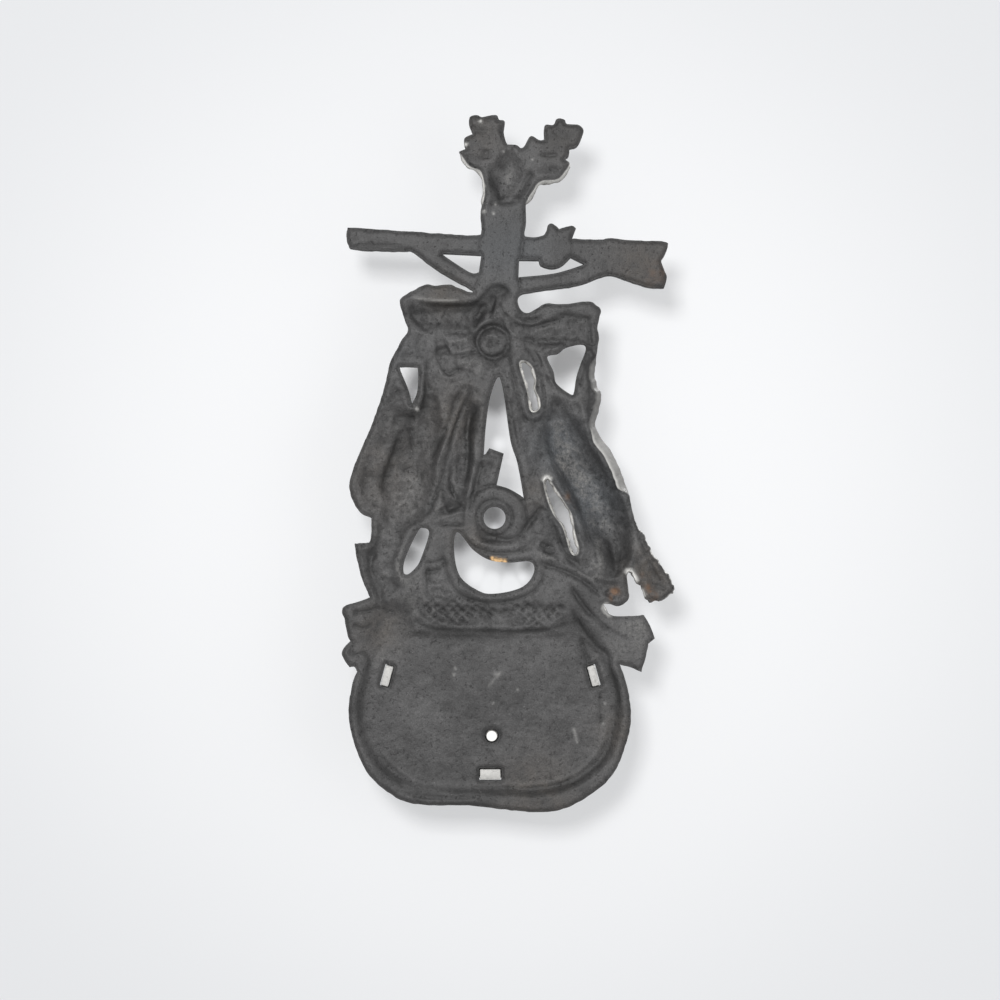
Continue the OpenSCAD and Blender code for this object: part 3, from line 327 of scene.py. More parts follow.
# What shows on the back: creases, ridges and lips, and a step where the cloth lies folded
CLOTH_STEP = Stroke(0.6, 1.9, (
    (-27.2, 71.8), (-24, 70.3), (-20, 69.6), (-15, 69.3), (-9.6, 69.3), (-6.4, 70), (-4, 72.2),
    (-2, 74.5), (0.6, 75.7), (3.4, 75), (5, 73), (5.6, 70)), 3.5)
BACK_STROKES = (CLOTH_STEP, *strokes(
    # stag's head
    (1.6, 2.2, -1.8, 115, -0.8, 111.4, 0.4, 108, 1.8, 105.2, 3.2, 103.4),
    (1.7, 2.2, 13, 112.8, 10.8, 110.8, 9.2, 108.2, 8, 105.6, 6.8, 103.6),
    (0.5, 0.8, -2.6, 102.7, 1, 102.6, 5, 102.7, 9.8, 103.2),
    (0.45, 1.0, 14.4, 118.3, 17.4, 117.9, 21, 118.2), (1.0, 0.9, -2.6, 120, -2.6, 116.6),
    (0.6, 0.5, -10, 117.8, -6, 117.2, -2.4, 116.8), (1.1, 0.7, 2, 128, 1.8, 125),
    (0.9, 0.6, -7, 128, -5.4, 126, -1.5, 126), (0.9, 0.6, 18.6, 126.8, 21.5, 124, 25.5, 123.8),
    (1.0, 0.5, 21.5, 113.6, 17, 112.8, 13, 112.6), (0.8, 0.5, 0.6, 117, 2, 114.6, 4.4, 113.6),
    (0.8, 0.4, 8, 120, 9.4, 117, 9, 114),
    # rifle and slings
    (0.45, 0.8, -46.8, 88.9, -40, 88.8, -34, 88.5, -27.4, 88.2), (0.5, 0.4, -46.8, 90.4, -44, 90.3),
    (0.4, 0.5, 24.8, 85.4, 25.4, 88, 25, 90.6), (0.4, 0.8, 9.6, 92, 8.9, 88, 8.6, 84.4),
    (0.4, 0.7, -4.5, 92, -4.8, 88, -4.6, 85.6), (0.4, 0.6, 8, 78.6, 8.3, 75.4, 8.4, 73),
    (0.4, 0.5, -4.8, 80, -5.4, 77, -6.6, 74.6),
    # cloth on the left
    (0.7, 0.9, -26.4, 70.6, -22, 69.3, -15, 68.8, -8.4, 69, -5, 70.6),
    (0.8, 1.6, -26.6, 71, -26.7, 67, -25.6, 64.4, -23, 62, -20.4, 60),
    (0.45, 1.3, -18.6, 59.8, -14, 60.3, -9, 60.3, -6.9, 61.8, -5.4, 64.4, -3.8, 66.8, -1.8, 69.6),
    (0.8, -0.9, -20.4, 55.4, -16, 56.6, -12, 57.9, -6.4, 58.8),
    (2.0, 1.6, -19.6, 54.4, -16.6, 54.4, -14.6, 55.2),
    (0.45, -0.9, -14.6, 53.6, -10, 54.3, -6.8, 55.1, -4.8, 54.8),
    (0.45, 1.5, -14.8, 52.7, -10.6, 52.9, -7.6, 53.6, -5.6, 54.4),
    (0.6, 1.6, -19.4, 52.8, -17.6, 50, -16.2, 47.6, -14.6, 46.7, -13, 47.8, -10.8, 48.3,
        -9.4, 47.4),
    (0.5, -0.8, -19.4, 49.8, -16.8, 46.7, -14.6, 45.6, -12.4, 45.8),
    (2.2, -0.9, -13, 50.6, -8, 50.6, -3, 49.6),
    # knot over the peg
    (0.6, 1.1, 0.2, 72.6, -0.4, 69.6, -1.2, 66.6), (0.5, -0.8, 1, 72.6, 0.4, 69, -0.2, 65.4),
    (0.7, 1.0, -3.2, 70, -4.8, 67, -6.2, 64.2), (0.5, 1.3, 1.4, 70.4, 2.8, 67.2, 4.6, 65),
    (0.5, -0.9, 2, 70.6, 3.6, 67.4, 5.4, 65.4), (0.7, -0.8, -2, 67.4, -3.6, 64.4, -5.2, 61.8),
    (0.6, -1.0, 3, 64, 4.2, 61.8, 5.8, 60, 8.8, 58.8), (0.6, 1.1, 2.4, 64.4, 3.6, 61.8, 5.2, 59.4),
    (0.8, 1.3, ring(-0.5, 57.3, 5.1)), (0.8, 0.9, ring(-0.6, 57.4, 5.1, 30, 190)),
    (0.7, 0.6, ring(-0.4, 57.2, 5, 220, 330)), (0.6, -0.8, -3.4, 58.4, -1, 59.4, 2, 58.2),
    (0.5, 0.8, -2, 57.8, -0.4, 55.4, 1.6, 57.4),
    # cloth on the right
    (0.5, 1.3, 20, 66.2, 25, 65.7, 29, 65.2, 31.4, 64.4),
    (0.5, -0.9, 4.6, 66.2, 8, 63.7, 11, 63, 14, 63.4, 17, 64.7, 20.4, 65.3),
    (0.5, 1.2, 5.8, 63.8, 9, 62.5, 12, 62.2, 16, 63.1, 20, 64.2, 24, 64.7),
    (0.6, 1.0, 6.4, 66.4, 9, 64.9, 12, 64.2, 14.4, 64.5), (0.8, -0.6, 12, 60.8, 18, 61.8, 26, 61.6),
    (1.0, 1.5, 8, 58.6, 14, 57.6, 22, 57.6, 30.4, 58.4),
    (0.4, 1.4, 11, 56.9, 17, 56.6, 23, 57, 28.6, 57.4),
    (0.9, 2.4, 31, 64.8, 31.2, 58, 31.3, 50, 31.3, 42, 30.8, 35, 30.4, 31),
    (0.6, 1.5, 30.3, 55.4, 29.8, 50, 28.6, 45.6, 28, 42),
    # bird
    (0.8, 2.2, -21.4, 54, -21.9, 48, -22.2, 42, -22.8, 37, -24, 34.4),
    (0.8, -0.8, -23.6, 46, -24, 40, -25, 35.6, -27.4, 35.4, -29.4, 38.4),
    (1.6, 1.4, -33.6, 32.6, -29.4, 32.6, -25.4, 32.2),
    (0.9, 1.6, -9.2, 43.6, -12.4, 39, -14, 34, -16.4, 28, -19, 22.4, -20.8, 18.6),
    (0.8, -1.3, -6.6, 45.2, -9.2, 41.6, -11.4, 35.6, -14, 29.2, -16, 24.4, -18, 19.4, -20, 13),
    (0.8, 2.0, -7, 43.4, -9.4, 38.6, -11.4, 33.2, -13, 28.4, -14.2, 23.6, -15.6, 18.6, -16.8, 13.6,
        -18.8, 8.4, -20.8, 3.6, -23.4, -0.2, -27, -2.8),
    (0.6, -0.8, -9, 37.4, -11, 32, -12.4, 27, -13.6, 21.6),
    (1.3, 2.0, -4.4, 37, -7, 34.4, -8.4, 30.6, -8.6, 24, -8.9, 17, -9.8, 10),
    (0.7, -1.3, -7, 28, -6.5, 21, -7.1, 14.6, -8.4, 8, -9.3, 2.2),
    (0.6, 1.4, -3.6, 21, -5.5, 13.4, -7, 6.4, -8.4, 1),
    (0.5, -0.9, -20.4, 1.8, -17.2, 3.8, -14.6, 5.8),
    (0.5, -0.9, -21, 0.2, -16, 0.5, -12, 1.5, -9.6, 2.2),
    (1.0, 1.4, -16, 2.6, -12.8, 3.6, -10.4, 4.6),
    (0.7, 1.8, -22.8, -1.5, -18, -2, -14, -1.9, -9.6, -2.4),
    (0.5, -0.6, -12, 23, -13.2, 15, -12.6, 7), (0.5, -0.6, -15.4, 14, -15.2, 9, -13, 5.6),
    (0.5, 0.8, -14, 19, -14.4, 11, -12, 5.4), (0.5, 0.7, -17.2, 10.6, -16.4, 6.4, -14.4, 4.4),
    (1.1, 1.5, -30, 29, -31.8, 24.4, -33.3, 20, -34.8, 16, -36, 12, -36.6, 7),
    (1.2, 0.9, -40.6, 21, -42.2, 15, -42.4, 8.4), (0.6, 0.8, -27, 30, -27.2, 26, -26.4, 20.4),
    (1.5, 1.7, -38.8, 2.4, -37.6, -2, -37.1, -5, -38.6, -9, -40.2, -12.6, -40.2, -18, -38.4, -23.6,
        -36.2, -28.8, -35, -33),
    (0.8, -0.5, -27, -3.6, -29.6, -9, -31.2, -15, -30.4, -20, -28, -21),
    (1.3, 0.6, -28.4, -2.4, -31.8, -9, -33.2, -15, -32.4, -21, -28.6, -23.4),
    # powder flask and its bands
    (0.5, 0.9, ring(0, 0, 5.8)), (0.6, 1.6, ring(0, 0, 10.5, -28, 212)),
    (1.0, 2.4, -6.4, -4.6, -3, -6.4, 1, -6.9, 5.4, -7, 9, -4.8, 11.8, -1, 14.6, 2.6),
    (0.6, 1.2, -10.2, -5.6, -7, -9, -2, -11.2, 4, -11.4, 9, -10.4, 13, -9),
    (0.5, -0.6, -9, -4.4, -5.4, -7.6, 0, -9.3, 6, -9.2, 11, -7.6),
    # hare's hind legs
    (0.6, 1.9, 3.6, 57.4, 4.6, 53, 5.7, 47, 7.2, 40, 8.5, 35.4, 9.8, 32.3, 12, 31.2, 14.6, 31.6,
        16.2, 34, 16.3, 38, 15.6, 43, 14.4, 48.4, 12.4, 52.8, 9.8, 56.4, 7.4, 58),
    (0.5, 1.4, 3.2, 48, 5.2, 38, 6.8, 28.6, 8.4, 21),
    (0.6, 2.0, 12, 56, 14.6, 51.6, 16.6, 47, 18, 43.6, 20, 41.6),
    (0.4, -0.8, 13, 56, 15.6, 51.8, 17.5, 47.4, 19, 44.2),
    (0.5, 1.2, 14.4, 55.4, 16.8, 51, 18.2, 47, 19.4, 44.6, 23.6, 40.4),
    # hare's body
    (1.4, 1.2, 17.4, 42, 16.4, 37, 16, 32, 16.8, 27, 18.6, 21, 21.4, 15.6, 24, 10.6, 26.6, 5,
        28.6, -0.4, 30, -6, 30.6, -10, 29, -13.6),
    (1.5, 1.0, 21, 39.4, 24.6, 34, 27.6, 28.8, 30.6, 23.6, 34, 18, 37.6, 11.6, 40.6, 5.6,
        43.4, -0.6, 45.6, -6, 48.6, -13.4),
    (2.4, -0.8, 33.8, -6, 34.2, -12, 34, -17, 33.6, -21), (0.8, -1.2, 27.2, 41, 28.4, 36, 29.4, 31),
    (1.4, 1.5, 37.4, -5, 38.6, -10, 39.4, -15, 39.7, -20),
    (0.6, 1.2, 45.2, -2, 48, -9, 51, -15.6, 54, -21), (0.7, 0.9, 33, -11, 33.2, -15),
    (0.8, 1.2, 36, -24, 39, -26.6),
    # fore leg and band
    (0.9, 2.0, 10.4, -3, 12.6, 0, 14.6, 2.8, 16.6, 2.4, 18.4, -1, 20.2, -5.4, 22, -9.6, 24, -12.8,
        27, -14.4, 29.6, -13),
    (0.6, -0.9, 14, -11.6, 19, -13.4, 24.6, -16, 30, -19.2, 34.6, -23),
    (0.7, 1.8, 13.4, -14.2, 18.4, -15.9, 23.6, -17.8, 28, -20, 32, -23, 36.4, -27.4),
    (0.6, 0.9, 14.6, -8, 17, -9.2, 19.6, -9.6),
    (0.4, -0.7, 14.4, -10.4, 15.8, -12.2, 18.6, -12.8, 20.2, -11.8),
    (0.4, 0.8, 15.6, -10.4, 17.8, -11.2, 20, -10.4),
    # flap of the bag
    (0.6, 1.2, -15.6, -6, -16.4, -13, -14.8, -20, -11, -25, -5, -27.4, 1, -27.7, 8, -26.4,
        13, -23.6, 16, -19, 15.8, -15.6),
    (0.6, 1.5, -26.4, -32.6, -24.8, -34.4, -22, -35.8, -17, -36.4, -8, -36.6, 2, -36.8, 10, -37,
        17, -36.4, 22, -35, 25, -33),
    (0.5, -0.5, -22, -37.3, -12, -37.8, 2, -38.1, 12, -38.3, 20, -37.4),
    (0.9, 1.8, 23, -19, 25.4, -23.2, 28.6, -28.2, 32.6, -32.4, 37.6, -36.4, 42, -38.8, 47.6, -41),
    (0.8, 1.5, 23.8, -24, 25.6, -31, 29.2, -37, 33, -41.4, 36.8, -44.8, 37.8, -49, 39.4, -55,
        40.6, -62, 40, -70),
    (0.5, 0.8, 27.8, -38.4, 29.4, -44, 31, -47), (0.4, 0.5, 34.4, -56, 34.4, -62, 34.8, -68),
    (0.5, 1.4, -43.6, -38.6, -46.8, -42.8, -45.8, -44.6, -42.4, -43.9, -41, -46.6, -41.4, -51),
    (0.8, 1.1, -46.4, -30.6, -42, -30.4, -36.6, -28.8),
    (0.6, 0.9, -46.6, -34.6, -42.6, -36, -39.2, -34),
    (0.5, 1.0, -21.4, -15, -21.8, -19, -21.8, -23, -21.6, -27),
    (0.45, 0.8, -23, -14.6, -19.4, -14.4, -16, -13.2),
    (0.45, 0.9, -22.8, -17.7, -19.6, -17.3, -16.8, -16.4),
    (0.45, 0.8, -22, -20.6, -19, -21.4, -16, -20.4),
    (0.45, 0.8, -21.4, -23.8, -18, -23.2, -14.6, -24.8),
    (0.45, 0.7, -21.4, -26.6, -17.6, -26.2, -13.6, -27.6),
    # border of the bag
    (1.5, 0.9, -42.6, -72, -38.6, -79.6, -32, -85.8, -25, -88.6, -15, -89.2, -5, -89, 5, -89.6,
        14, -89.6, 23, -87.6, 30.6, -83.4, 36.4, -77, 39.4, -69),
    (0.7, -0.7, -39, -72, -35.6, -77.6, -30, -83, -23, -86, -12, -87, 0, -86.8, 12, -87.2,
        22, -85.2, 29, -81.2, 33.8, -75.6, 36.6, -67, 36.4, -58),
    (0.4, 0.6, -33, -88.4, -24, -90.6, -14, -91, -4, -90.9)))


def curve_point(a: Array, b: Array, c: Array, d: Array, t: float) -> Array:
    """Finds a point of the smooth curve from b to c, where a comes before them and d after.

    Args:
        a: Point before b.
        b: Start of the span.
        c: End of the span.
        d: Point after c.
        t: Place along the span, from 0 to 1.

    Returns:
        The point.
    """
    bend = 2 * a - 5 * b + 4 * c - d
    twist = 3 * b - a - 3 * c + d
    return (2 * b + (c - a) * t + bend * t * t + twist * t ** 3) / 2


def smooth_run(points: Path, steps: int = 4) -> Array:
    """Draws a smooth open run through points of any number of columns.

    Args:
        points: Points of the run.
        steps: Steps between two points.

    Returns:
        The run's stations, one a row.
    """
    drawn = np.array(points, float)
    last = len(drawn) - 1
    run = []
    for i in range(last):
        four = [drawn[min(max(k, 0), last)] for k in range(i - 1, i + 3)]
        run += [curve_point(*four, s / steps) for s in range(steps)]
    return np.array(run + [drawn[-1]])


def edge_loop(points: Path, spacing: float) -> Array:
    """Draws a smooth closed loop through points, with its sharp corners kept.

    Args:
        points: Points of the loop.
        spacing: Distance between two stations.

    Returns:
        The loop's stations, one a row.
    """
    count = len(points)
    flat = [np.array(p[:2], float) for p in points]
    corner = [len(p) == 3 for p in points]
    run = []
    for i in range(count):
        after = (i + 1) % count
        a = flat[i] if corner[i] else flat[i - 1]
        d = flat[after] if corner[after] else flat[(i + 2) % count]
        steps = max(1, math.ceil(np.linalg.norm(flat[after] - flat[i]) / spacing))
        run += [curve_point(a, flat[i], flat[after], d, s / steps) for s in range(steps)]
    return np.array(run)


def area_of(loop: Array) -> float:
    """Signed area of a loop, above zero where it runs anticlockwise."""
    after = np.roll(loop, -1, axis=0)
    return float((loop[:, 0] * after[:, 1] - loop[:, 1] * after[:, 0]).sum() / 2)


def within(points: Array, loops: list[Array]) -> Array:
    """Tells which points lie inside an outline and outside its gaps.

    Args:
        points: Points, one a row.
        loops: The outline and the gaps.

    Returns:
        One mark a point.
    """
    u, v = points.T
    marks = np.zeros(len(points), bool)
    for loop in loops:
        for (au, av), (bu, bv) in zip(loop, np.roll(loop, -1, axis=0)):
            rise = bv - av if bv != av else 1
            marks ^= ((av > v) != (bv > v)) & (u < au + (bu - au) * (v - av) / rise)
    return marks


def inward(loop: Array) -> Array:
    """Finds the directions to the left of a closed loop.

    Args:
        loop: Stations of the loop.

    Returns:
        One direction a station.
    """
    along = np.roll(loop, -1, axis=0) - np.roll(loop, 1, axis=0)
    left = np.stack((-along[:, 1], along[:, 0]), axis=1)
    return left / np.maximum(np.linalg.norm(left, axis=1, keepdims=True), TINY)


def softened(values: Array, times: int) -> Array:
    """Evens out values along a closed edge.

    Args:
        values: One value or direction a station.
        times: How often each is averaged with its neighbours.

    Returns:
        The evened values.
    """
    for _ in range(times):
        values = (np.roll(values, 1, axis=0) + values + np.roll(values, -1, axis=0)) / 3
    return values


def closed_pairs(loops: list[Array]) -> list[tuple[int, int]]:
    """Pairs each station of closed loops with the one after it.

    Args:
        loops: Loops whose stations are numbered one loop after the other.

    Returns:
        The pairs of numbers.
    """
    pairs, start = [], 0
    for loop in loops:
        count = len(loop)
        pairs += [(start + i, start + (i + 1) % count) for i in range(count)]
        start += count
    return pairs


def run_lengths(run: Array) -> Array:
    """Measures how far each station lies along a run."""
    return np.concatenate(((0,), np.cumsum(np.linalg.norm(np.diff(run, axis=0), axis=1))))


def bell(values: Array, width: float) -> Array:
    """Share that falls off softly on both sides of 0."""
    return np.exp(-((values / width) ** 2))


def diamond_net(u: Array, v: Array, pitch: float) -> Array:
    """Share of a line at each place of a net of crossing lines, which lie a pitch apart."""
    places = [(u + turn * v) / pitch for turn in (-1, 1)]
    return np.maximum(*(bell((place - np.round(place)) * pitch, NET_LINE) for place in places))


def smooth_rise(values: Array) -> Array:
    """Eases values from 0 to 1 with flat ends."""
    held = np.clip(values, 0, 1)
    return held * held * (3 - 2 * held)


class Sheet:
    """Depths in front of the wall's plane over the whole drawing, on a fine square grid."""

    PITCH = 0.3
    LOW = np.array((-61.2, -98.1))
    SHAPE = (772, 408)
    U = LOW[0] + PITCH * np.arange(SHAPE[1])[None, :]
    V = LOW[1] + PITCH * np.arange(SHAPE[0])[:, None]
    WANDER = np.zeros(SHAPE)  # unevenness of hand cut lines, drawn below
    LEAST_HALF = 0.05  # least half width of a form
    CLOSED = 0.1  # a stroke whose ends are nearer than this is closed and doesn't taper
    TAPER, BLUNT_END = 0.22, 0.05  # share of a stroke that tapers, and where its taper starts
    SWELL, WAVER = 0.2, 0.22  # how far a stroke's width and depth wander
    ROUND, STEP_EDGE = 0.35, 0.4  # roundness of a groove's bottom and softness of a step's edge

    def __init__(self, level: float = 0.0) -> None:
        """Lays a flat sheet at one depth."""
        self.depth = np.full(self.SHAPE, level)

    def near(self, run: Array, reach: float) -> tuple[Cells, Array, Array, Array]:
        """Measures the cells near a run.

        Args:
            run: Stations of the run.
            reach: How far the cells may lie from it.

        Returns:
            The window of cells, their distance from the run, their station along it, and their
            side: above zero to the left.
        """
        first = np.floor((run[:, :2].min(0) - reach - self.LOW) / self.PITCH).astype(int).clip(0)
        last = np.ceil((run[:, :2].max(0) + reach - self.LOW) / self.PITCH).astype(int) + 1
        window = tuple(slice(first[k], min(last[k], size)) for k, size in zip((1, 0), self.SHAPE))
        u, v = self.U[:, window[1]], self.V[window[0]]
        best = np.full((v.shape[0], u.shape[1]), np.inf)
        station, side = np.zeros_like(best), np.zeros_like(best)
        for i in range(len(run) - 1):
            (au, av), along = run[i, :2], run[i + 1, :2] - run[i, :2]
            t = ((u - au) * along[0] + (v - av) * along[1]) / max(along @ along, TINY)
            t = np.clip(t, 0, 1)
            du, dv = u - au - t * along[0], v - av - t * along[1]
            far = du * du + dv * dv
            closer = far < best
            np.copyto(best, far, where=closer)
            np.copyto(station, i + t, where=closer)
            np.copyto(side, along[0] * dv - along[1] * du, where=closer)
        return window, np.sqrt(best), station, np.sign(side)

    def raise_form(self, run: Array, base: float, power: float = 0.5) -> None:
        """Raises a half round form from a base, along a run of u, v, half width and depth.

        Args:
            run: Stations of the run.
            base: Depth at the form's foot.
            power: Roundness of its section.
        """
        window, far, station, _ = self.near(run, run[:, 2].max())
        half, deep = (np.interp(station, np.arange(len(run)), run[:, k]) for k in (2, 3))
        share = np.clip(1 - (far / np.maximum(half, self.LEAST_HALF)) ** 2, 0, 1) ** power
        form = base + (deep - base) * share * (share > 0)
        self.depth[window] = np.maximum(self.depth[window], form)

    def draw(self, stroke: Stroke, share: float = 1.0) -> None:
        """Adds a stroke's groove, ridge or step.

        Args:
            stroke: The stroke.
            share: Share of its depth that is drawn.
        """
        run = smooth_run(stroke.path)
        window, far, station, side = self.near(run, max(3 * stroke.width, 4 * stroke.fall))
        wander, taper, span = self.WANDER[window], 1.0, len(run) - 1
        if np.hypot(*(run[0, :2] - run[-1, :2])) > self.CLOSED:
            from_end = np.minimum(station, span - station)
            taper = smooth_rise(self.BLUNT_END + from_end / (self.TAPER * span))
        if stroke.fall:
            right = -side * far
            foot = np.exp(np.clip(-right / (self.STEP_EDGE * stroke.width), -40, 40))
            cut = np.exp(-np.clip(right, 0, None) / stroke.fall) / (1 + foot)
        else:
            width = stroke.width * (1 + self.SWELL * wander)
            cut = np.exp(self.ROUND - np.sqrt((far / width) ** 2 + self.ROUND ** 2))
        self.depth[window] += share * stroke.deep * taper * (1 + self.WAVER * wander) * cut

    def disc(self, u: float, v: float, radius: float, deep: float, soft: float = 0.4) -> None:
        """Raises a round boss with a soft edge.

        Args:
            u: Place of its middle to the right.
            v: Place of its middle upwards.
            radius: Its radius.
            deep: Depth of its face.
            soft: Width of its edge.
        """
        far = np.hypot(self.U - u, self.V - v)
        share = smooth_rise((radius - far) / soft + 0.5)
        self.depth += np.maximum(deep - self.depth, 0) * share

    @classmethod
    def filled(cls, loop: Array) -> Array:
        """Marks the cells inside a closed loop.

        Args:
            loop: Stations of the loop.

        Returns:
            1 in the cells inside and 0 in the others.
        """
        mask = np.zeros(cls.SHAPE, bool)
        for (au, av), (bu, bv) in zip(loop, np.roll(loop, -1, axis=0)):
            low, high = sorted((av, bv))
            first = max(math.ceil((low - cls.LOW[1]) / cls.PITCH), 0)
            last = min(math.ceil((high - cls.LOW[1]) / cls.PITCH), cls.SHAPE[0])
            for row in range(first, last):
                cross = au + (bu - au) * (cls.LOW[1] + row * cls.PITCH - av) / (bv - av)
                mask[row, max(math.ceil((cross - cls.LOW[0]) / cls.PITCH), 0):] ^= True
        return mask.astype(float)

    @classmethod
    def blurred(cls, values: Array, radius: float) -> Array:
        """Softens a sheet of values.

        Args:
            values: Values on the grid.
            radius: Radius over which they are softened.

        Returns:
            The softened values.
        """
        across = np.fft.rfftfreq(values.shape[1], cls.PITCH)[None, :]
        up = np.fft.fftfreq(values.shape[0], cls.PITCH)[:, None]
        fade = np.exp(-2 * (np.pi * radius) ** 2 * (across ** 2 + up ** 2))
        return np.fft.irfft2(np.fft.rfft2(values) * fade, s=values.shape)

    @classmethod
    def pressed(cls, loop: Array, soft: float) -> Array:
        """Share of the area inside a loop, with a soft edge."""
        return cls.blurred(cls.filled(loop), soft)

    @classmethod
    def grain(cls, seed: int, size: float) -> Array:
        """Makes seeded soft noise of one grain size, with a spread of 1."""
        noise = cls.blurred(np.random.default_rng(seed).standard_normal(cls.SHAPE), size)
        return noise / noise.std()

    @classmethod
    def edge_distance(cls, loops: list[Array], reach: float) -> Array:
        """Measures how far each cell lies from the nearest loop, up to a reach.

        Args:
            loops: Closed loops.
            reach: Distance beyond which the value stays the same.

        Returns:
            The distances.
        """
        sheet, chunk = cls(reach), 12
        for loop in loops:
            closed = np.vstack((loop, loop[:1]))
            for start in range(0, len(loop), chunk):
                window, far, _, _ = sheet.near(closed[start:start + chunk + 1], reach)
                sheet.depth[window] = np.minimum(sheet.depth[window], far)
        return sheet.depth

    @classmethod
    def sampled(cls, values: Array, points: Array) -> Array:
        """Reads a sheet of values at any points.

        Args:
            values: Values on the grid.
            points: Points, one a row.

        Returns:
            One value a point.
        """
        place = ((points - cls.LOW) / cls.PITCH).clip(0, np.array(cls.SHAPE[::-1]) - 1.001)
        cell = place.astype(int)
        (fu, fv), (cu, cv) = (place - cell).T, cell.T
        low = values[cv, cu] * (1 - fu) + values[cv, cu + 1] * fu
        high = values[cv + 1, cu] * (1 - fu) + values[cv + 1, cu + 1] * fu
        return low * (1 - fv) + high * fv


Sheet.WANDER = np.clip(Sheet.grain(21, 2.4), -1.8, 1.8)


class Value:
    """Shader socket that takes part in sums as a number does."""

    def __init__(self, tree: bpy.types.NodeTree, socket: Socket) -> None:
        """Keeps the socket and the tree that it belongs to."""
        self.tree, self.socket = tree, socket

    def _math(self, operation: str, left: "Value | float", right: "Value | float") -> "Value":
        """Adds one Math node.

        Args:
            operation: What it works out.
            left: First term.
            right: Second term.

        Returns:
            Its result.
        """
        node = self.tree.nodes.new("ShaderNodeMath")
        node.operation = operation
        for slot, term in zip(node.inputs, (left, right)):
            if isinstance(term, Value):
                self.tree.links.new(term.socket, slot)
            else:
                slot.default_value = term
        return Value(self.tree, node.outputs[0])

    def __add__(self, other: "Value | float") -> "Value":
        """Sum of two values."""
        return self._math("ADD", self, other)

    __radd__ = __add__

    def __sub__(self, other: "Value | float") -> "Value":
        """Difference of two values."""
        return self._math("SUBTRACT", self, other)

    def __rsub__(self, other: float) -> "Value":
        """Number less this value."""
        return self._math("SUBTRACT", other, self)

    def __mul__(self, other: "Value | float") -> "Value":
        """Product of two values."""
        return self._math("MULTIPLY", self, other)

    __rmul__ = __mul__

    def least(self, other: "Value | float") -> "Value":
        """The lesser of two values."""
        return self._math("MINIMUM", self, other)

    def held(self) -> "Value":
        """Holds the value between 0 and 1."""
        return self._math("MINIMUM", self._math("MAXIMUM", self, 0.0), 1.0)


class Shader:
    """Node tree of a material or of the world, whose nodes are added by one method."""

    def __init__(self, owner: "bpy.types.Material | bpy.types.World") -> None:
        """Empties the tree of a material or world.

        Args:
            owner: The material or world.
        """
        owner.use_nodes = True
        self.owner, self.tree = owner, owner.node_tree
        self.tree.nodes.clear()

    def node(self, kind: str, settings: dict | None = None,
             inputs: dict | None = None) -> bpy.types.Node:
        """Adds a node.

        Args:
            kind: Type of the node.
            settings: Properties that are set first.
            inputs: Values or links of its sockets, by name or number.

        Returns:
            The node.
        """
        node = self.tree.nodes.new(kind)
        for name, setting in (settings or {}).items():
            setattr(node, name, setting)
        for name, term in (inputs or {}).items():
            term = term.socket if isinstance(term, Value) else term
            if isinstance(term, Socket):
                self.tree.links.new(term, node.inputs[name])
            else:
                node.inputs[name].default_value = term
        return node

    def value(self, kind: str, output: str | int, settings: dict | None = None,
              inputs: dict | None = None) -> Value:
        """Adds a node and wraps one of its outputs."""
        return Value(self.tree, self.node(kind, settings, inputs).outputs[output])

    def attribute(self, name: str) -> Value:
        """Reads one of the mesh's own values."""
        return self.value("ShaderNodeAttribute", "Fac", {"attribute_name": name})

    def place(self) -> Socket:
        """Place in the piece's own frame."""
        return self.node("ShaderNodeTexCoord").outputs["Object"]

    def noise(self, place: Socket, scale: float, detail: float, rough: float = 0.55) -> Value:
        """Adds a noise at a scale to the metre."""
        return self.value("ShaderNodeTexNoise", "Fac", None, {
            "Vector": place, "Scale": scale, "Detail": detail, "Roughness": rough})

    def ramp(self, value: Value, low: float, high: float) -> Value:
        """Spreads a value from 0 at low to 1 at high."""
        return self.value("ShaderNodeMapRange", 0, {"interpolation_type": "SMOOTHSTEP"}, {
            "Value": value, "From Min": low, "From Max": high})

    def mix(self, share: Value, first: "Socket | Colour", second: "Socket | Colour") -> Socket:
        """Mixes two colours.

        Args:
            share: Share of the second colour.
            first: First colour.
            second: Second colour.

        Returns:
            The mixed colour.
        """
        ends = [end if isinstance(end, Socket) else (*end, 1) for end in (first, second)]
        mixed = {0: share, 6: ends[0], 7: ends[1]}
        return self.node("ShaderNodeMix", {"data_type": "RGBA"}, mixed).outputs[2]

    def mix_surfaces(self, share: Value | float, first: Socket, second: Socket) -> Socket:
        """Mixes two surfaces by a share."""
        return self.node("ShaderNodeMixShader", None, {0: share, 1: first, 2: second}).outputs[0]

    def scaled(self, colour: Socket, share: Value) -> Socket:
        """Darkens or brightens a colour by a value."""
        inputs = {0: colour, "Scale": share}
        return self.node("ShaderNodeVectorMath", {"operation": "SCALE"}, inputs).outputs[0]

    def bump(self, height: Value, strength: float, distance: float) -> Socket:
        """Turns a height into the direction of a rough surface."""
        return self.node("ShaderNodeBump", None, {
            "Strength": strength, "Distance": distance, "Height": height}).outputs[0]

    def looked_at(self) -> Value:
        """Marks the rays by which a thing is seen, straight, mirrored or through glass.

        Returns:
            1 for such a ray and 0 for any other.
        """
        rays = self.node("ShaderNodeLightPath").outputs
        camera, mirrored, through = (Value(self.tree, rays[f"Is {kind} Ray"])
                                     for kind in ("Camera", "Glossy", "Transmission"))
        return (camera + mirrored + through).held()

    def close(self, surface: Socket) -> "bpy.types.Material | bpy.types.World":
        """Joins a surface to the output.

        Args:
            surface: The surface, or the world's background.

        Returns:
            The finished material or world.
        """
        kind = "World" if isinstance(self.owner, bpy.types.World) else "Material"
        self.node(f"ShaderNodeOutput{kind}", None, {"Surface": surface})
        return self.owner


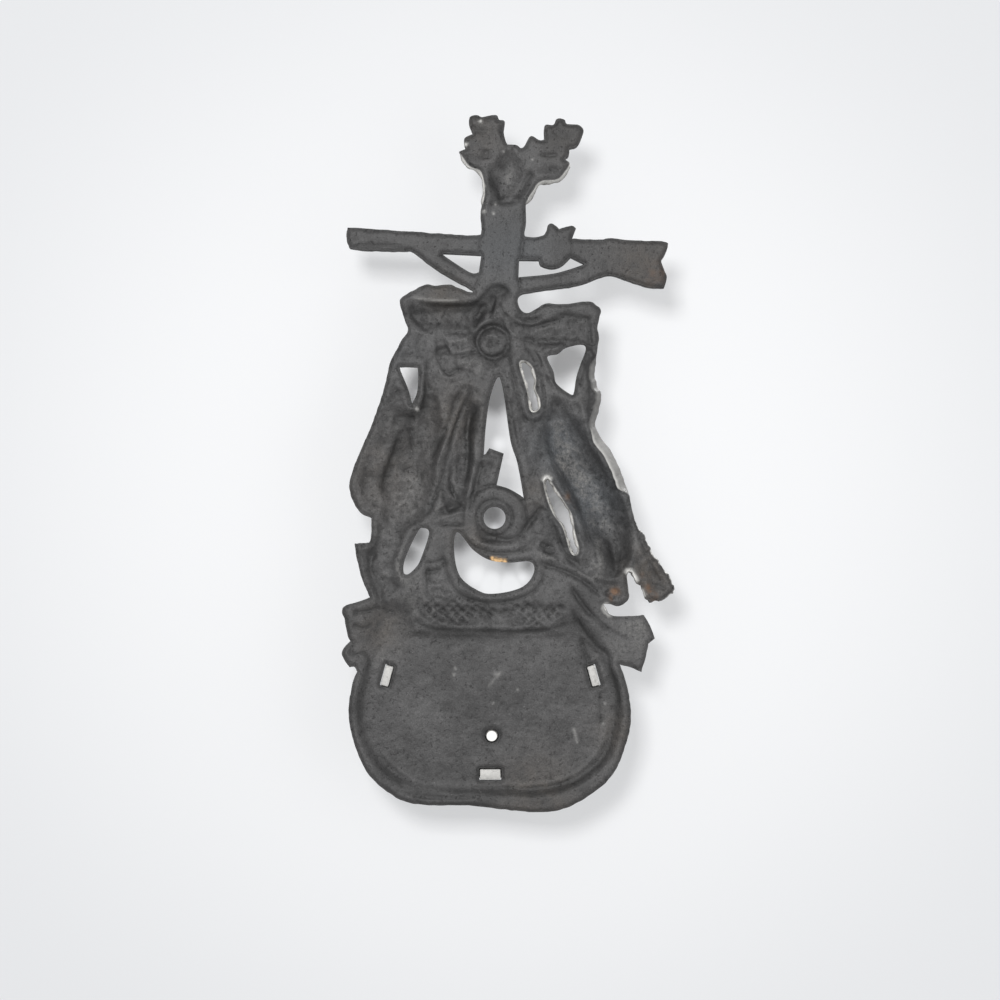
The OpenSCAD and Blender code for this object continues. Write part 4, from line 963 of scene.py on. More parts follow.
@dataclass(frozen=True)
class IronFinish:
    """Matte sand cast iron: worn edges, painted shade and highlights, rust, remains of pale paint.
    """

    name: str = "cast_iron"
    dark: Colour = (0.0298, 0.0292, 0.0294)
    light: Colour = (0.0737, 0.0725, 0.073)
    warm: Colour = (0.074, 0.06, 0.047)
    # cool tint, brighter than the iron, which also paints light on the floor of the hare's hollow
    cool_and_lit: Colour = (0.079, 0.084, 0.09)
    # colour of worn edges and specks, and of the painted highlight on ridges and lit floors
    edge: Colour = (0.15, 0.147, 0.142)
    rust: Colour = (0.12, 0.062, 0.03)
    gold: Colour = (0.72, 0.46, 0.22)
    pale: Colour = (0.86, 0.85, 0.82)
    cloud_scale: float = 42
    mottle_scale: float = 260
    sand_scale: float = 900
    grit_scale: float = 2200
    # how far the hollow value's painted shade darkens the colour
    painted_shade_strength: float = 0.58
    tint: float = 0.9
    highlight_and_wear_gain: float = 1.1
    speck_share: float = 0.75
    grain_low: float = 0.74
    grain_gain: float = 0.66
    pit_dark: float = 0.15
    gold_gain: float = 2.2
    pale_low: float = 0.72
    bump_strength: float = 0.8
    bump_distance: float = 0.0004
    roughness: float = 0.54
    rough_spread: float = 0.3

    def material(self) -> bpy.types.Material:
        """Builds the iron's nodes.

        Returns:
            The material.
        """
        s = Shader(bpy.data.materials.new(self.name))
        place = s.place()
        cloud, mottle = s.noise(place, self.cloud_scale, 3), s.noise(place, self.mottle_scale, 3)
        sand = s.noise(place, self.sand_scale, 3, 0.6)
        grit = s.noise(place, self.grit_scale, 2, 0.6)
        hollow, warm, rust, gold, pale = (s.attribute(name) for name in VALUE_NAMES)
        tone = s.mix(s.ramp(cloud * 0.6 + mottle * 0.4, 0.32, 0.68), self.dark, self.light)
        warmed = warm * self.tint * s.ramp(cloud + mottle, 0.6, 1.3)
        tone = s.mix(warmed.held(), tone, self.warm)
        tone = s.mix((warm * -self.tint).held(), tone, self.cool_and_lit)
        # Painted shade: the hollow value darkens the colour in creases, hollows, along edges and on
        # walls
        tone = s.scaled(tone, 1.0 - hollow.held() * self.painted_shade_strength)
        # Painted highlight and wear: where the hollow value is below zero the colour turns to the
        # edge colour in broken patches
        worn = (hollow * -self.highlight_and_wear_gain).held() * s.ramp(mottle + sand, 0.65, 1.2)
        tone = s.mix(worn.held(), tone, self.edge)
        grain = grit * 0.6 + sand * 0.4
        tone = s.mix(s.ramp(grain, 0.65, 0.73) * self.speck_share, tone, self.edge)
        tone = s.scaled(tone, self.grain_low + s.ramp(grain, 0.36, 0.7) * self.grain_gain)
        pit = s.ramp(sand, 0.4, 0.28)
        tone = s.scaled(tone, 1.0 - pit * self.pit_dark)
        flakes = mottle + sand * 0.5
        tone = s.mix((rust * s.ramp(flakes, 0.45, 0.9)).held(), tone, self.rust)
        gilt = gold * self.gold_gain * s.ramp(flakes, 0.55, 0.85)
        tone = s.mix(gilt.held(), tone, self.gold)
        tone = s.mix((pale * (self.pale_low + sand * 0.5)).held(), tone, self.pale)
        height = sand * 0.6 + grit * 0.25 + mottle * 0.5 - pit * 0.35
        shade = s.node("ShaderNodeBsdfPrincipled", None, {
            "Base Color": tone, "Metallic": 0.0, "Specular IOR Level": 0.4,
            "Normal": s.bump(height, self.bump_strength, self.bump_distance),
            "Roughness": self.roughness + (sand - 0.5) * self.rough_spread})
        return s.close(shade.outputs[0])


@dataclass(frozen=True)
class SteelFinish:
    """Dull turned steel of the screw, filed bright at its end."""

    name: str = "screw_steel"
    dark: Colour = (0.16, 0.155, 0.15)
    light: Colour = (0.34, 0.33, 0.315)
    pale: Colour = (0.9, 0.89, 0.87)
    mottle_scale: float = 420
    sand_scale: float = 2400
    bump_strength: float = 0.25
    bump_distance: float = 0.0001
    roughness: float = 0.42
    rough_spread: float = 0.3

    def material(self) -> bpy.types.Material:
        """Builds the steel's nodes.

        Returns:
            The material.
        """
        s = Shader(bpy.data.materials.new(self.name))
        place = s.place()
        mottle, sand = s.noise(place, self.mottle_scale, 3), s.noise(place, self.sand_scale, 2)
        filed = s.attribute("pale").held()
        tone = s.mix(s.ramp(mottle, 0.35, 0.65), self.dark, self.light)
        tone = s.mix(filed, tone, self.pale)
        shade = s.node("ShaderNodeBsdfPrincipled", None, {
            "Base Color": tone, "Metallic": 1.0 - filed,
            "Normal": s.bump(sand, self.bump_strength, self.bump_distance),
            "Roughness": self.roughness + (mottle - 0.5) * self.rough_spread})
        return s.close(shade.outputs[0])


class Side(Enum):
    """Which side of the casting a face belongs to."""

    BACK = 1
    FRONT = 2


@dataclass
class Loop:
    """Closed edge with the casting on its left, and how it leans from the back to the front."""

    run: Array
    left: Array
    back_shift: Array
    front_shift: Array
    pale: Array

    @classmethod
    def around(cls, run: Array, outer: bool) -> "Loop":
        """Turns a run the right way round and lets it stand upright."""
        turned = run if (area_of(run) > 0) == outer else run[::-1].copy()
        return cls(turned, softened(inward(turned), 8), *np.zeros((3, len(turned))))

    def at(self, side: Side) -> Array:
        """Stations of the edge on one side of the casting."""
        shift = self.back_shift if side is Side.BACK else self.front_shift
        return self.run + self.left * shift[:, None]


def placed(name: str, data: bpy.types.ID) -> Piece:
    """Puts a new object into the scene, at the origin.

    Args:
        name: Name of the object.
        data: Its mesh, lens or light.

    Returns:
        The object.
    """
    piece = bpy.data.objects.new(name, data)
    bpy.context.scene.collection.objects.link(piece)
    return piece


def with_values(piece: Piece, values: dict[str, Array]) -> Piece:
    """Gives a piece the values that the finishes read.

    Args:
        piece: The piece.
        values: Values at its points, by name. Those that aren't given are 0.

    Returns:
        The same piece.
    """
    none = np.zeros(len(piece.data.vertices))
    for name in VALUE_NAMES:
        numbers = values.get(name, none).astype(np.float32)
        piece.data.attributes.new(name, "FLOAT", "POINT").data.foreach_set("value", numbers)
    return piece


def mesh_object(name: str, points: Array, faces: list, values: dict[str, Array]) -> Piece:
    """Makes a smooth shaded object at the origin.

    Args:
        name: Name of the piece.
        points: Its points in metres.
        faces: Its faces as point numbers.
        values: Values at its points, by name.

    Returns:
        The object.
    """
    mesh = bpy.data.meshes.new(name)
    mesh.from_pydata(points.tolist(), [], faces)
    mesh.polygons.foreach_set("use_smooth", np.ones(len(mesh.polygons), bool))
    mesh.validate()
    return with_values(placed(name, mesh), values)


def points_of(piece: Piece) -> Array:
    """Reads a piece's points.

    Args:
        piece: The piece.

    Returns:
        The points, one a row.
    """
    points = np.zeros(3 * len(piece.data.vertices), np.float32)
    piece.data.vertices.foreach_get("co", points)
    return points.reshape(-1, 3)


def move_points(piece: Piece, points: Array) -> None:
    """Moves a piece's points to new places."""
    piece.data.vertices.foreach_set("co", points.astype(np.float32).ravel())
    piece.data.update()


def standing(flat: Array, depth: Array) -> Array:
    """Stands drawn points up on the wall, in metres: the drawing is seen from behind."""
    return np.stack((-flat[:, 0], -depth, flat[:, 1]), axis=1) * MM


@dataclass
class BackPlate:
    """Pierced plate of the holder: one hollow casting with relief in front and folds behind."""

    # Zones of the outer edge: low and high end, and where they lie across
    FLANK = (7, 54, 30)
    EARS = (102.6, 118, -3, 9.8)
    EAR_TIP = (23.6, 116.8, 1.6)
    PRONG = (-28, -2, 44.5)
    NOTCHES = ((44.3, -17.8, 1.5, 1.0), (36, -29.4, 1.6, 0.9))
    ROUGH_FROM, WIDE_BELOW = 27, 29
    STRIP = (1.9, 0.9)  # strip of the flank's pale wall that shows behind, and its gain below
    WEAR = (0.06, 0.2, 0.12)  # unevenness of every edge, and loss and unevenness at the flank
    # Meshing: insets of the rows along an edge, and how far points keep clear of it
    EDGE_ROWS, ROW_CLEAR, GRID_CLEAR = (0.26, 0.62), 0.93, 0.55
    WALL_LEVELS = (0.35, 0.94)
    RING_PALE = (0.55, 1, 1, 0.8)
    FEATHER, HAIR = (2.9, 3.1), (1.3, 0.24)

    ground: float = GROUND
    wall: float = 2.6
    least_wall: float = 2.1
    hang_hole_r: float = 3.6
    screw_hole_r: float = 2.2
    screw: tuple[float, float] = SCREW_AT
    lug_gap: float = 0.25
    seat_room: float = 0.6
    hollow_round: float = 0.8
    rim: float = 1.2
    rim_fall: float = 3.5
    hatch_deep: float = 0.9
    collar_r: float = 5.2
    foot_sunk: float = 1.2
    border_rise: float = 1.4
    edge_spacing: float = 0.45
    back_spacing: float = 0.6
    front_spacing: float = 0.76
    back_round: float = 0.6
    front_round: float = 1.1

    def loops(self) -> list[Loop]:
        """Draws every edge of the casting.

        Returns:
            The outline first, then the gaps, the holes and the slots.
        """
        pouch = MatchPouch()
        gaps = [edge_loop(points, self.edge_spacing) for points in PLAIN_GAPS]
        gaps += [np.array(ring(0, 0, self.hang_hole_r, count=57)[:-1]),
                 np.array(ring(*self.screw, self.screw_hole_r, count=37)[:-1])]
        gaps += [pouch.lug_edge(lug, self.lug_gap) for lug in pouch.lugs()]
        return [self.outline(), self.slit(LEG_SLIT), self.slit(FLANK_SLIT),
                *(Loop.around(gap, False) for gap in gaps)]

    def outline(self) -> Loop:
        """Draws the outer edge, worn along the hare and pale at the ears and the notches.

        Returns:
            The edge.
        """
        edge = Loop.around(edge_loop(PLATE_EDGE, self.edge_spacing), True)
        u, v = edge.run.T  # views, which follow the run as it is moved
        ragged, flaky = self.ragged(len(u), 11), self.ragged(len(u), 13, 1)
        low, high, inner = self.FLANK
        flank = smooth_rise((v - low) / 4) * smooth_rise((high - v) / 5) * (u > inner)
        low, high, left, right = self.EARS
        ear = ((v > low) & (v < high) & ((u > right) | (u < left))).astype(float)
        ear *= np.hypot(u - self.EAR_TIP[0], v - self.EAR_TIP[1]) > self.EAR_TIP[2]
        ear = softened(ear, 4)
        rough = flank * smooth_rise((v - self.ROUGH_FROM) / 4)
        uneven, loss, flaking = self.WEAR
        worn = uneven * ragged + flank * loss + flaking * rough * ragged
        edge.run += edge.left * worn[:, None]
        strip, gain = self.STRIP
        edge.back_shift = flank * (strip + gain * smooth_rise((self.WIDE_BELOW - v) / 3))
        notch = sum(share * np.exp(-(((u - at_u) / wide) ** 2 + ((v - at_v) / 1.5) ** 2))
                    for at_u, at_v, wide, share in self.NOTCHES)
        edge.front_shift = -0.75 * np.maximum(ear * (0.75 + 0.35 * ragged), notch)
        low, high, inner = self.PRONG
        prong = ((u > inner) & (v < high) & (v > low)).astype(float)
        edge.run += edge.left * (prong * (0.3 + 0.2 * ragged + 0.2 * flaky))[:, None]
        fringe = prong * (edge.left[:, 0] < -0.3) * np.clip(0.45 + 0.4 * flaky, 0, 1)
        edge.front_shift -= 0.4 * fringe
        edge.pale = np.maximum(np.maximum(ear, notch), 0.8 * fringe)
        return edge

    def slit(self, points: Path) -> Loop:
        """Draws a slit whose pale front edge stands out ragged behind it.

        Args:
            points: Drawn points of the slit.

        Returns:
            The edge.
        """
        edge = Loop.around(edge_loop(points, self.edge_spacing), False)
        ragged = self.ragged(len(edge.run), 12)
        edge.front_shift = -0.6 - 0.18 * ragged
        edge.pale = np.clip(0.85 + 0.3 * ragged, 0.2, 1)
        return edge

    @staticmethod
    def ragged(count: int, seed: int, soft: int = 3) -> Array:
        """Makes seeded unevenness along a closed edge, of a spread of 1 and at most 1.6."""
        rough = softened(np.random.default_rng(seed).standard_normal(count), soft)
        return np.clip(rough / rough.std(), -1.6, 1.6)

    @staticmethod
    def limb_run(limb: Limb) -> Array:
        """Smooth run of a form's stations: rows of u, v, half width and depth."""
        return smooth_run(limb.spine) * (1, 1, 1, limb.depth)

    def back_sheet(self, edges: list[Array]) -> Sheet:
        """Sculpts the back: hollows behind the forms, the bag's field, folds and creases.

        Args:
            edges: The casting's edges on the back.

        Returns:
            The depths of the back.
        """
        sheet = Sheet()
        for limb in HOLLOWS:
            sheet.raise_form(self.limb_run(limb), 0, self.hollow_round)
        soft = Sheet.pressed(np.array(SOFT_AREA), 1.2)
        sink = smooth_rise((Sheet.edge_distance(edges, 6) - self.rim) / self.rim_fall) * soft
        sheet.depth = Sheet.blurred(np.maximum(sheet.depth, sink + 0.75 * sheet.depth), 0.7)
        field = Sheet.pressed(smooth_run((*BAG_FIELD, BAG_FIELD[0])), 0.9)
        pressed = np.maximum(field, Sheet.pressed(np.array(BAG_SHOULDER), 2))
        sheet.depth = np.maximum(sheet.depth, (self.ground - self.wall) * pressed)
        for stroke in BACK_STROKES:
            sheet.draw(stroke, stroke.open_share)
        self.hatch(sheet, self.hatch_deep, 0.75)
        sheet.disc(0, 0, self.collar_r, 0)
        lumps = 0.1 * Sheet.grain(3, 0.42) + 0.13 * Sheet.grain(4, 1.1) + 0.16 * Sheet.grain(6, 2.6)
        sheet.depth += (0.35 + 0.65 * soft) * lumps + 0.12 * Sheet.grain(5, 5)
        sheet.depth = np.clip(sheet.depth, 0, None)
        return sheet

    @staticmethod
    def hatch(sheet: Sheet, deep: float, uneven: float) -> None:
        """Presses the diamond net of the bag's flap into a sheet.

        Args:
            sheet: The sheet.
            deep: How deep it is pressed, where a value below zero raises it.
            uneven: How far its lines wander and swell.
        """
        net = diamond_net(Sheet.U + uneven * Sheet.WANDER, 1.15 * Sheet.V, 3.3)
        swell = np.clip(0.7 + 0.5 * Sheet.WANDER, 0, 1.4)
        lumps = uneven * (0.3 * Sheet.grain(7, 0.9) + 0.25 * Sheet.grain(8, 1.7))
        field = Sheet.pressed(np.array(FLAP_FIELD), 0.7)
        sheet.depth += deep * field * ((0.75 - 0.8 * net) * swell + lumps)

    def front_sheet(self, back: Sheet, outline: Array) -> Sheet:
        """Sculpts the front: the hunter's trophies on their ground.

        Args:
            back: The back, which the front clears by the casting's wall.
            outline: The casting's outer edge in front.

        Returns:
            The depths of the front.
        """
        sheet = Sheet(self.ground)
        for limb in (*LIMBS.values(), *FRONT_LIMBS):
            sheet.raise_form(self.limb_run(limb), self.ground - self.foot_sunk)
        sheet.depth = np.maximum(Sheet.blurred(sheet.depth, 0.4), self.ground)
        sheet.depth += self.border_rise * self.border(outline)
        for boss in FRONT_BOSSES:
            sheet.disc(*boss)
        for stroke in FRONT_STROKES:
            sheet.draw(stroke)
        self.feathers(sheet, LIMBS["bird_body"])
        for name in ("hare_body", "inner_leg", "outer_leg", "fore_leg", "hare_head"):
            self.fur(sheet, LIMBS[name])
        self.hatch(sheet, -self.hatch_deep, 0.15)
        sheet.depth += 0.05 * Sheet.grain(13, 0.6) + 0.06 * Sheet.grain(14, 1.6)
        thin = Sheet.blurred(back.depth, 0.6) + self.least_wall
        sheet.depth = np.maximum(sheet.depth, thin)
        pouch = MatchPouch()
        seat = Sheet.pressed(pouch.outline(-self.seat_room, 60) + (pouch.middle, pouch.mouth), 0.3)
        sheet.depth += (self.ground - sheet.depth) * seat
        return sheet

    @staticmethod
    def border(outline: Array) -> Array:
        """Raises a border along the bag's edge.

        Args:
            outline: The casting's outer edge.

        Returns:
            Share of the border in each cell.
        """
        far = Sheet.edge_distance([outline], 6)
        bag = smooth_rise((-46 - Sheet.V) / 6)
        return bag * smooth_rise((far - 0.3) / 1.1) * smooth_rise((3.8 - far) / 1.1)

    def feathers(self, sheet: Sheet, limb: Limb) -> None:
        """Lays rows of overlapping feathers on a form.

        Args:
            sheet: The sheet that holds the form.
            limb: The form.
        """
        window, along, across, share = self.over(sheet, limb)
        row = along / self.FEATHER[0]
        place = across / self.FEATHER[1] + 0.5 * (np.floor(row) % 2)
        edge = row + 0.45 * (2 * (place - np.round(place))) ** 2
        sheet.depth[window] += 0.6 * share * (0.5 - (edge - np.floor(edge)))

    def fur(self, sheet: Sheet, limb: Limb) -> None:
        """Combs short hair along a form.

        Args:
            sheet: The sheet that holds the form.
            limb: The form.
        """
        window, along, across, share = self.over(sheet, limb)
        combed = np.stack((across.ravel() * self.HAIR[0], along.ravel() * self.HAIR[1]), axis=1)
        hair = Sheet.sampled(Sheet.grain(31, 0.75), combed)
        sheet.depth[window] += 0.2 * share * hair.reshape(along.shape)

    def over(self, sheet: Sheet, limb: Limb) -> tuple[Cells, Array, Array, Array]:
        """Measures the cells over a form.

        Args:
            sheet: The sheet that holds the cells.
            limb: The form.

        Returns:
            The window of cells, their place along the form and across it in millimetres, and a
            share that fades out at its foot.
        """
        run = self.limb_run(limb)
        window, far, station, side = sheet.near(run, run[:, 2].max())
        half, along = (np.interp(station, np.arange(len(run)), values)
                       for values in (run[:, 2], run_lengths(run[:, :2])))
        share = smooth_rise((1 - far / np.maximum(half, Sheet.LEAST_HALF)) / 0.25)
        return window, along, side * far, share

    def edge_rows(self, loops: list[Array]) -> Array:
        """Lays rows of points that follow the edges, a little inside them.

        Args:
            loops: The edges.

        Returns:
            The points of the rows that stay clear of every edge.
        """
        edge = np.vstack(loops)
        tree = KDTree(len(edge))
        for i, (u, v) in enumerate(edge):
            tree.insert((u, v, 0), i)
        tree.balance()
        rows = np.array([
            point for loop in loops for inset in self.EDGE_ROWS
            for point in loop + inset * inward(loop)
            if tree.find((*point, 0))[2] > self.ROW_CLEAR * inset])
        return rows[within(rows, loops)]

    @staticmethod
    def even_grid(spacing: float) -> Array:
        """Spreads points evenly over the whole drawing.

        Args:
            spacing: Distance between two points.

        Returns:
            The points, in rows of which every second one is moved on by half a step.
        """
        high = Sheet.LOW + Sheet.PITCH * np.array(Sheet.SHAPE[::-1])
        v = np.arange(Sheet.LOW[1], high[1], spacing * math.sqrt(3) / 2)
        u = np.arange(Sheet.LOW[0], high[0], spacing)
        grid = np.stack(np.meshgrid(u, v), axis=-1)
        grid[1::2, :, 0] += spacing / 2
        return grid.reshape(-1, 2)

    def skin(self, loops: list[Array], spacing: float) -> tuple[Array, list, Array]:
        """Fills one side of the casting with triangles.

        Args:
            loops: The edges on that side.
            spacing: Distance between its inner points.

        Returns:
            The flat points with the edges first, the triangles, and each point's distance from
            the edge, which is 0 on the edges.
        """
        edge = np.vstack(loops)
        distance = Sheet.edge_distance(loops, 3)
        inside = np.zeros(Sheet.SHAPE)
        for loop in loops:
            inside = np.abs(inside - Sheet.filled(loop))
        grid = self.even_grid(spacing)
        clear = self.EDGE_ROWS[-1] + self.GRID_CLEAR * spacing
        keep = (Sheet.sampled(inside, grid) > 0.99) & (Sheet.sampled(distance, grid) > clear)
        flat = np.vstack((edge, self.edge_rows(loops), grid[keep]))
        points = [Vector(point) for point in flat]
        points, _, faces, *_ = delaunay_2d_cdt(points, closed_pairs(loops), [], 1, 1e-7, False)
        if len(points) != len(flat):
            LOG.warning("an edge crosses itself: %d points became %d", len(flat), len(points))
        flat, faces = np.array([tuple(point) for point in points]), np.array(faces)
        across = np.nonzero((faces < len(edge)).all(1))[0]
        open_air = across[~within(flat[faces[across]].mean(1), loops)]
        far = Sheet.sampled(distance, flat)
        far[:len(edge)] = 0
        return flat, np.delete(faces, open_air, axis=0).tolist(), far

    @staticmethod
    def rounded(distance: Array, radius: float) -> Array:
        """How far a rounded edge falls away at a distance from it."""
        near = radius - np.minimum(distance, radius)
        return radius - np.sqrt(np.maximum(radius * radius - near * near, 0))

    def build(self) -> Piece:
        """Makes the whole casting as one closed mesh.

        Returns:
            The plate.
        """
        loops = self.loops()
        edges_b, edges_f = ([loop.at(side) for loop in loops] for side in Side)
        back = self.back_sheet(edges_b)
        front = self.front_sheet(back, edges_f[0])
        flat_b, faces_b, far_b = self.skin(edges_b, self.back_spacing)
        flat_f, faces_f, far_f = self.skin(edges_f, self.front_spacing)
        deep_b = Sheet.sampled(back.depth, flat_b) + self.rounded(far_b, self.back_round)
        deep_f = Sheet.sampled(front.depth, flat_f) - self.rounded(far_f, self.front_round)
        count = sum(len(loop.run) for loop in loops)
        strip = np.zeros(count)
        strip[:len(loops[0].run)] = loops[0].back_shift / sum(self.STRIP)
        walls = []
        for level in self.WALL_LEVELS:
            lean = np.where(strip > 0.02, level, 0.15 * level ** 4)[:, None]
            walls.append((flat_b[:count] * (1 - lean) + flat_f[:count] * lean,
                          deep_b[:count] * (1 - level) + deep_f[:count] * level))
        parts = [(flat_b, deep_b), (flat_f, deep_f), *walls]
        starts = np.cumsum([0] + [len(flat) for flat, _ in parts])
        rings = [starts[k] + np.arange(count) for k in (0, 2, 3, 1)]  # from the back to the front
        faces = [tuple(face) for face in faces_b]
        faces += [tuple(i + len(flat_b) for i in reversed(face)) for face in faces_f]
        faces += [(near[b], near[a], far[a], far[b]) for near, far in zip(rings, rings[1:])
                  for a, b in closed_pairs(edges_b)]
        paint = PlatePaint(back, front)
        values = paint.values(flat_b, flat_f, np.vstack([flat for flat, _ in walls]))
        # Painted shade along the edges of both sides and on the walls between them
        values["hollow"] += np.concatenate((
            0.75 * bell(far_b, 0.5), 0.3 * bell(far_f, 0.5), np.full(2 * count, 0.8)))
        pale = np.concatenate([loop.pale for loop in loops])
        low = smooth_rise((30 - flat_b[:count, 1]) / 2)
        on_strip = (0.1 + 0.5 * low, 0.27, 0.25, 0.0)
        for places, strip_share, share in zip(rings, on_strip, self.RING_PALE):
            edge_pale = np.where(strip > 0, strip_share * strip, share * pale)
            values["pale"][places] = np.maximum(values["pale"][places], edge_pale)
        points = np.vstack([standing(flat, deep) for flat, deep in parts])
        return mesh_object("back_plate_casting", points, faces, values)


class PlatePaint:
    """Values over the plate that its finish reads: painted shade and light, warm tones, rust, pale
    paint.
    """

    # Patches of painted shade above zero and of painted light below zero: u, v, radius and amount
    SHADE: Path = (
        (20.4, 29, 3.6, -0.8), (22.6, 23, 3.8, -0.85), (25.4, 17, 4, -0.95), (29, 11, 4, -0.7),
        (32.4, 4.6, 4, -0.65), (35.6, -2, 4, -0.55), (-16, 65, 8, 0.4), (-1, -46, 22, -0.1),
        (-4, 126.4, 6, 0.55), (20, 124, 8, 0.6), (-8, 117, 4, 0.4), (11, 107.6, 2.2, 0.6),
        (-2, 109, 1.8, 0.6), (5, 112, 4, -0.75), (-28, 10, 8, -0.35), (-33, -16, 6, -0.35),
        (53, -20, 5, 0.12), (44, -12, 4, 0.35), (20.4, 19, 3, -0.7), (25, 9, 3, -0.45),
        (30, -3, 3.2, -0.6), (34.4, -7.8, 2.8, -0.6), (22.8, 16.2, 2.6, -0.5),
        (33.6, 9.8, 2.6, -0.25), (33.6, -14, 3, -0.4), (46, 83, 12, 0.55), (3, 90, 10, 0.75),
        (26, 87, 10, 0.32), (-30, 90, 14, 0.16), (-1, -74, 20, 0.2), (-44, 14, 8, 0.3),
        (46, -36, 6, -0.5), (-22, -26, 9, -0.25), (36, -46, 6, -0.3), (-38, -45, 5, -0.2),
        (22, 126, 6, 0.35), (4, 106, 3, -0.4), (3, 99, 5, 0.15), (2, 79, 6, 0.15),
        (-22, 90, 9, 0.12), (34, 85, 8, 0.2), (20, 77, 5, 0.6), (-16, 82, 5, 0.25),
        (-16, 72.6, 3, 0.5), (24, 62, 5, 0.2), (-0.6, 57, 4, 0.2), (-29, 54, 4, 0.5),
        (-28, 66, 3, 0.2), (-28, 2.4, 4, -0.3), (-12, 16, 3, -0.15), (-45, -35, 5, 0.45),
        (0, -32, 6, 0.25), (-13, -32, 6, 0.2), (13, -32, 6, 0.2), (16, -62, 10, 0.1),
        (14, 4, 4, -0.4), (10, 24, 4, 0.2), (39, -22, 3.4, 0.55))
    # Lines of painted shade, and of painted light where below zero, along the hare's hollow and the
    # bag's border
    SHADE_LINES = strokes(
        (1.6, 0.45, 16.6, 40, 15.8, 34, 15.4, 28, 17, 21.6, 19.8, 15.6, 23, 10, 25.8, 4, 27.8, -3,
            29, -10),
        (1.6, 0.6, 15.6, 31, 14.8, 26.6, 15.2, 22.6, 17, 18.6),
        (1.6, -1.0, 18.6, 19.4, 20.8, 15.4, 23.6, 10, 26.2, 4.4, 28, -1, 29, -5),
        (1.7, -0.9, 22.8, 38.4, 25.4, 32.4, 28.4, 26.4, 31.7, 20.4, 35.3, 14.8, 38.7, 8.9,
            41.8, 2.3, 44.6, -3.7, 47.4, -10.4, 50, -16),
        (2.2, 0.3, -45, -58, -42.6, -74, -35, -86, -22, -91, -6, -91.4, 10, -92.4, 25, -90, 36, -82,
            41.8, -70, 42.2, -58),
        (1.6, 0.15, 37, -6, 38.8, -12, 39.4, -20))
    RUST: Path = (
        (39.2, -24.2, 1.3, 1.5), (38.2, -26, 0.9, 0.9), (50.4, -23, 1.5, 0.9), (47.6, -19, 1, 0.6),
        (52.6, -26, 1.4, 0.7), (52.5, 79, 3, 0.35), (24, 7, 1.4, 0.4), (25.6, 4.2, 1.2, 0.4))
    GOLD: Path = (
        (-0.8, -13.2, 0.55, 1), (0.6, -13.7, 0.6, 1), (2, -14, 0.6, 1), (3.4, -14.3, 0.5, 1))
    PAINTED: Path = (
        (20, 30, 7, 0.8), (27, 19, 8, 0.8), (33, 8, 8, 0.8), (38, -4, 7, 0.8), (39, -18, 5, 0.7),
        (51, -18, 5, 0.6), (11, 43, 6, 0.7), (31, 45, 5, 0.6), (-7, 117, 3.4, 0.9),
        (17, 113, 4, 0.9), (16, 0, 5, 0.6))
    # Warm tints above zero and cool ones below; the strong cool patches over the hare's hollow also
    # paint light on its floor
    WARM: Path = (
        (-16, 73, 5.5, 1), (-36, 15, 14, 0.35), (48, 82, 9, 0.8), (13, 88, 8, -0.2),
        (3, 88, 10, -0.75), (-31, 55, 8, -0.25), (-37, -36, 7, 0.6), (14, -90, 12, 0.6),
        (42, -70, 8, 0.5), (13, 8, 5, 0.7), (-4, 125, 7, 0.5), (22, 124, 7, 0.4), (-12, 34, 9, 0.5),
        (-8, -8, 6, 0.5), (20, 25, 8, -1.1), (30, 6, 10, -1.1), (50, -18, 7, 1.2))
    PALE_DOTS: Path = (
        (-4.6, 129.1, 0.5, 0.7), (-9.2, 121.5, 0.5, 0.8), (-3.4, 99.6, 0.5, 0.5),
        (-0.3, 99, 0.4, 0.4), (0.3, 102, 0.4, 0.3), (2.9, 119.3, 0.4, 0.25),
        (12.3, 116.5, 0.4, 0.25), (-12.8, -49, 0.4, 0.25), (-13.2, -51, 0.4, 0.3),
        (-0.4, -60.4, 0.4, 0.2), (7.6, -56, 0.4, 0.2), (36, -60.4, 0.4, 0.25),
        (35.4, -67, 0.4, 0.2), (-25.2, 35.4, 0.5, 0.6), (-3.6, 108, 0.5, 0.6))
    PALE_LINES = strokes(
        (0.3, 0.3, -27, 71.8, -22, 71.1, -17, 70.7, -11, 70.8),
        (0.3, 0.2, 1, -52, 0, -50.6, 2, -51.4), (0.25, 0.16, -2.4, -55.4, 2.6, -49.6),
        (0.25, 0.2, 25.6, -68, 26.4, -71, 27.2, -74),
        (0.3, 0.75, 42.7, -18.4, 43.2, -17.2, 44.2, -16.9, 45, -17.8, 45.8, -19.4, 46.8, -21.4),
        (0.3, 0.6, 47.6, -22.8, 48.9, -25.8),
        (0.3, 0.75, 37.8, -27.9, 36.2, -27.7, 35.2, -28.8, 35.8, -30.4, 37, -31.6, 38.6, -32.3),
        (0.35, 0.75, 15.6, 11.6, 16.6, 13.2, 17.6, 13.2, 18.6, 11.8))

    def __init__(self, back: Sheet, front: Sheet) -> None:
        """Works out the values over both sheets.

        Args:
            back: Depths of the back.
            front: Depths of the front.
        """
        # Painted shade on the back: darker in sunk creases and on steep walls, plus patches and
        # lines of painted shade and light
        up, across = np.gradient(Sheet.blurred(back.depth, 0.5), Sheet.PITCH)
        steep = np.clip(np.hypot(up, across) - 0.25, 0, 1)
        sunk = np.clip((back.depth - Sheet.blurred(back.depth, 1.1)) / 0.36, -0.8, 1)
        # every carved stroke on the back also gets a line of painted shade
        creases = [Stroke(stroke.width + 0.1, 0.7 * min(max(stroke.deep, -0.4), 1), stroke.path)
                   for stroke in BACK_STROKES]
        lines = self.lines((*self.SHADE_LINES, *creases))
        self.back_painted_shading = np.maximum(sunk, 0.36 * steep) + self.patches(self.SHADE) + lines
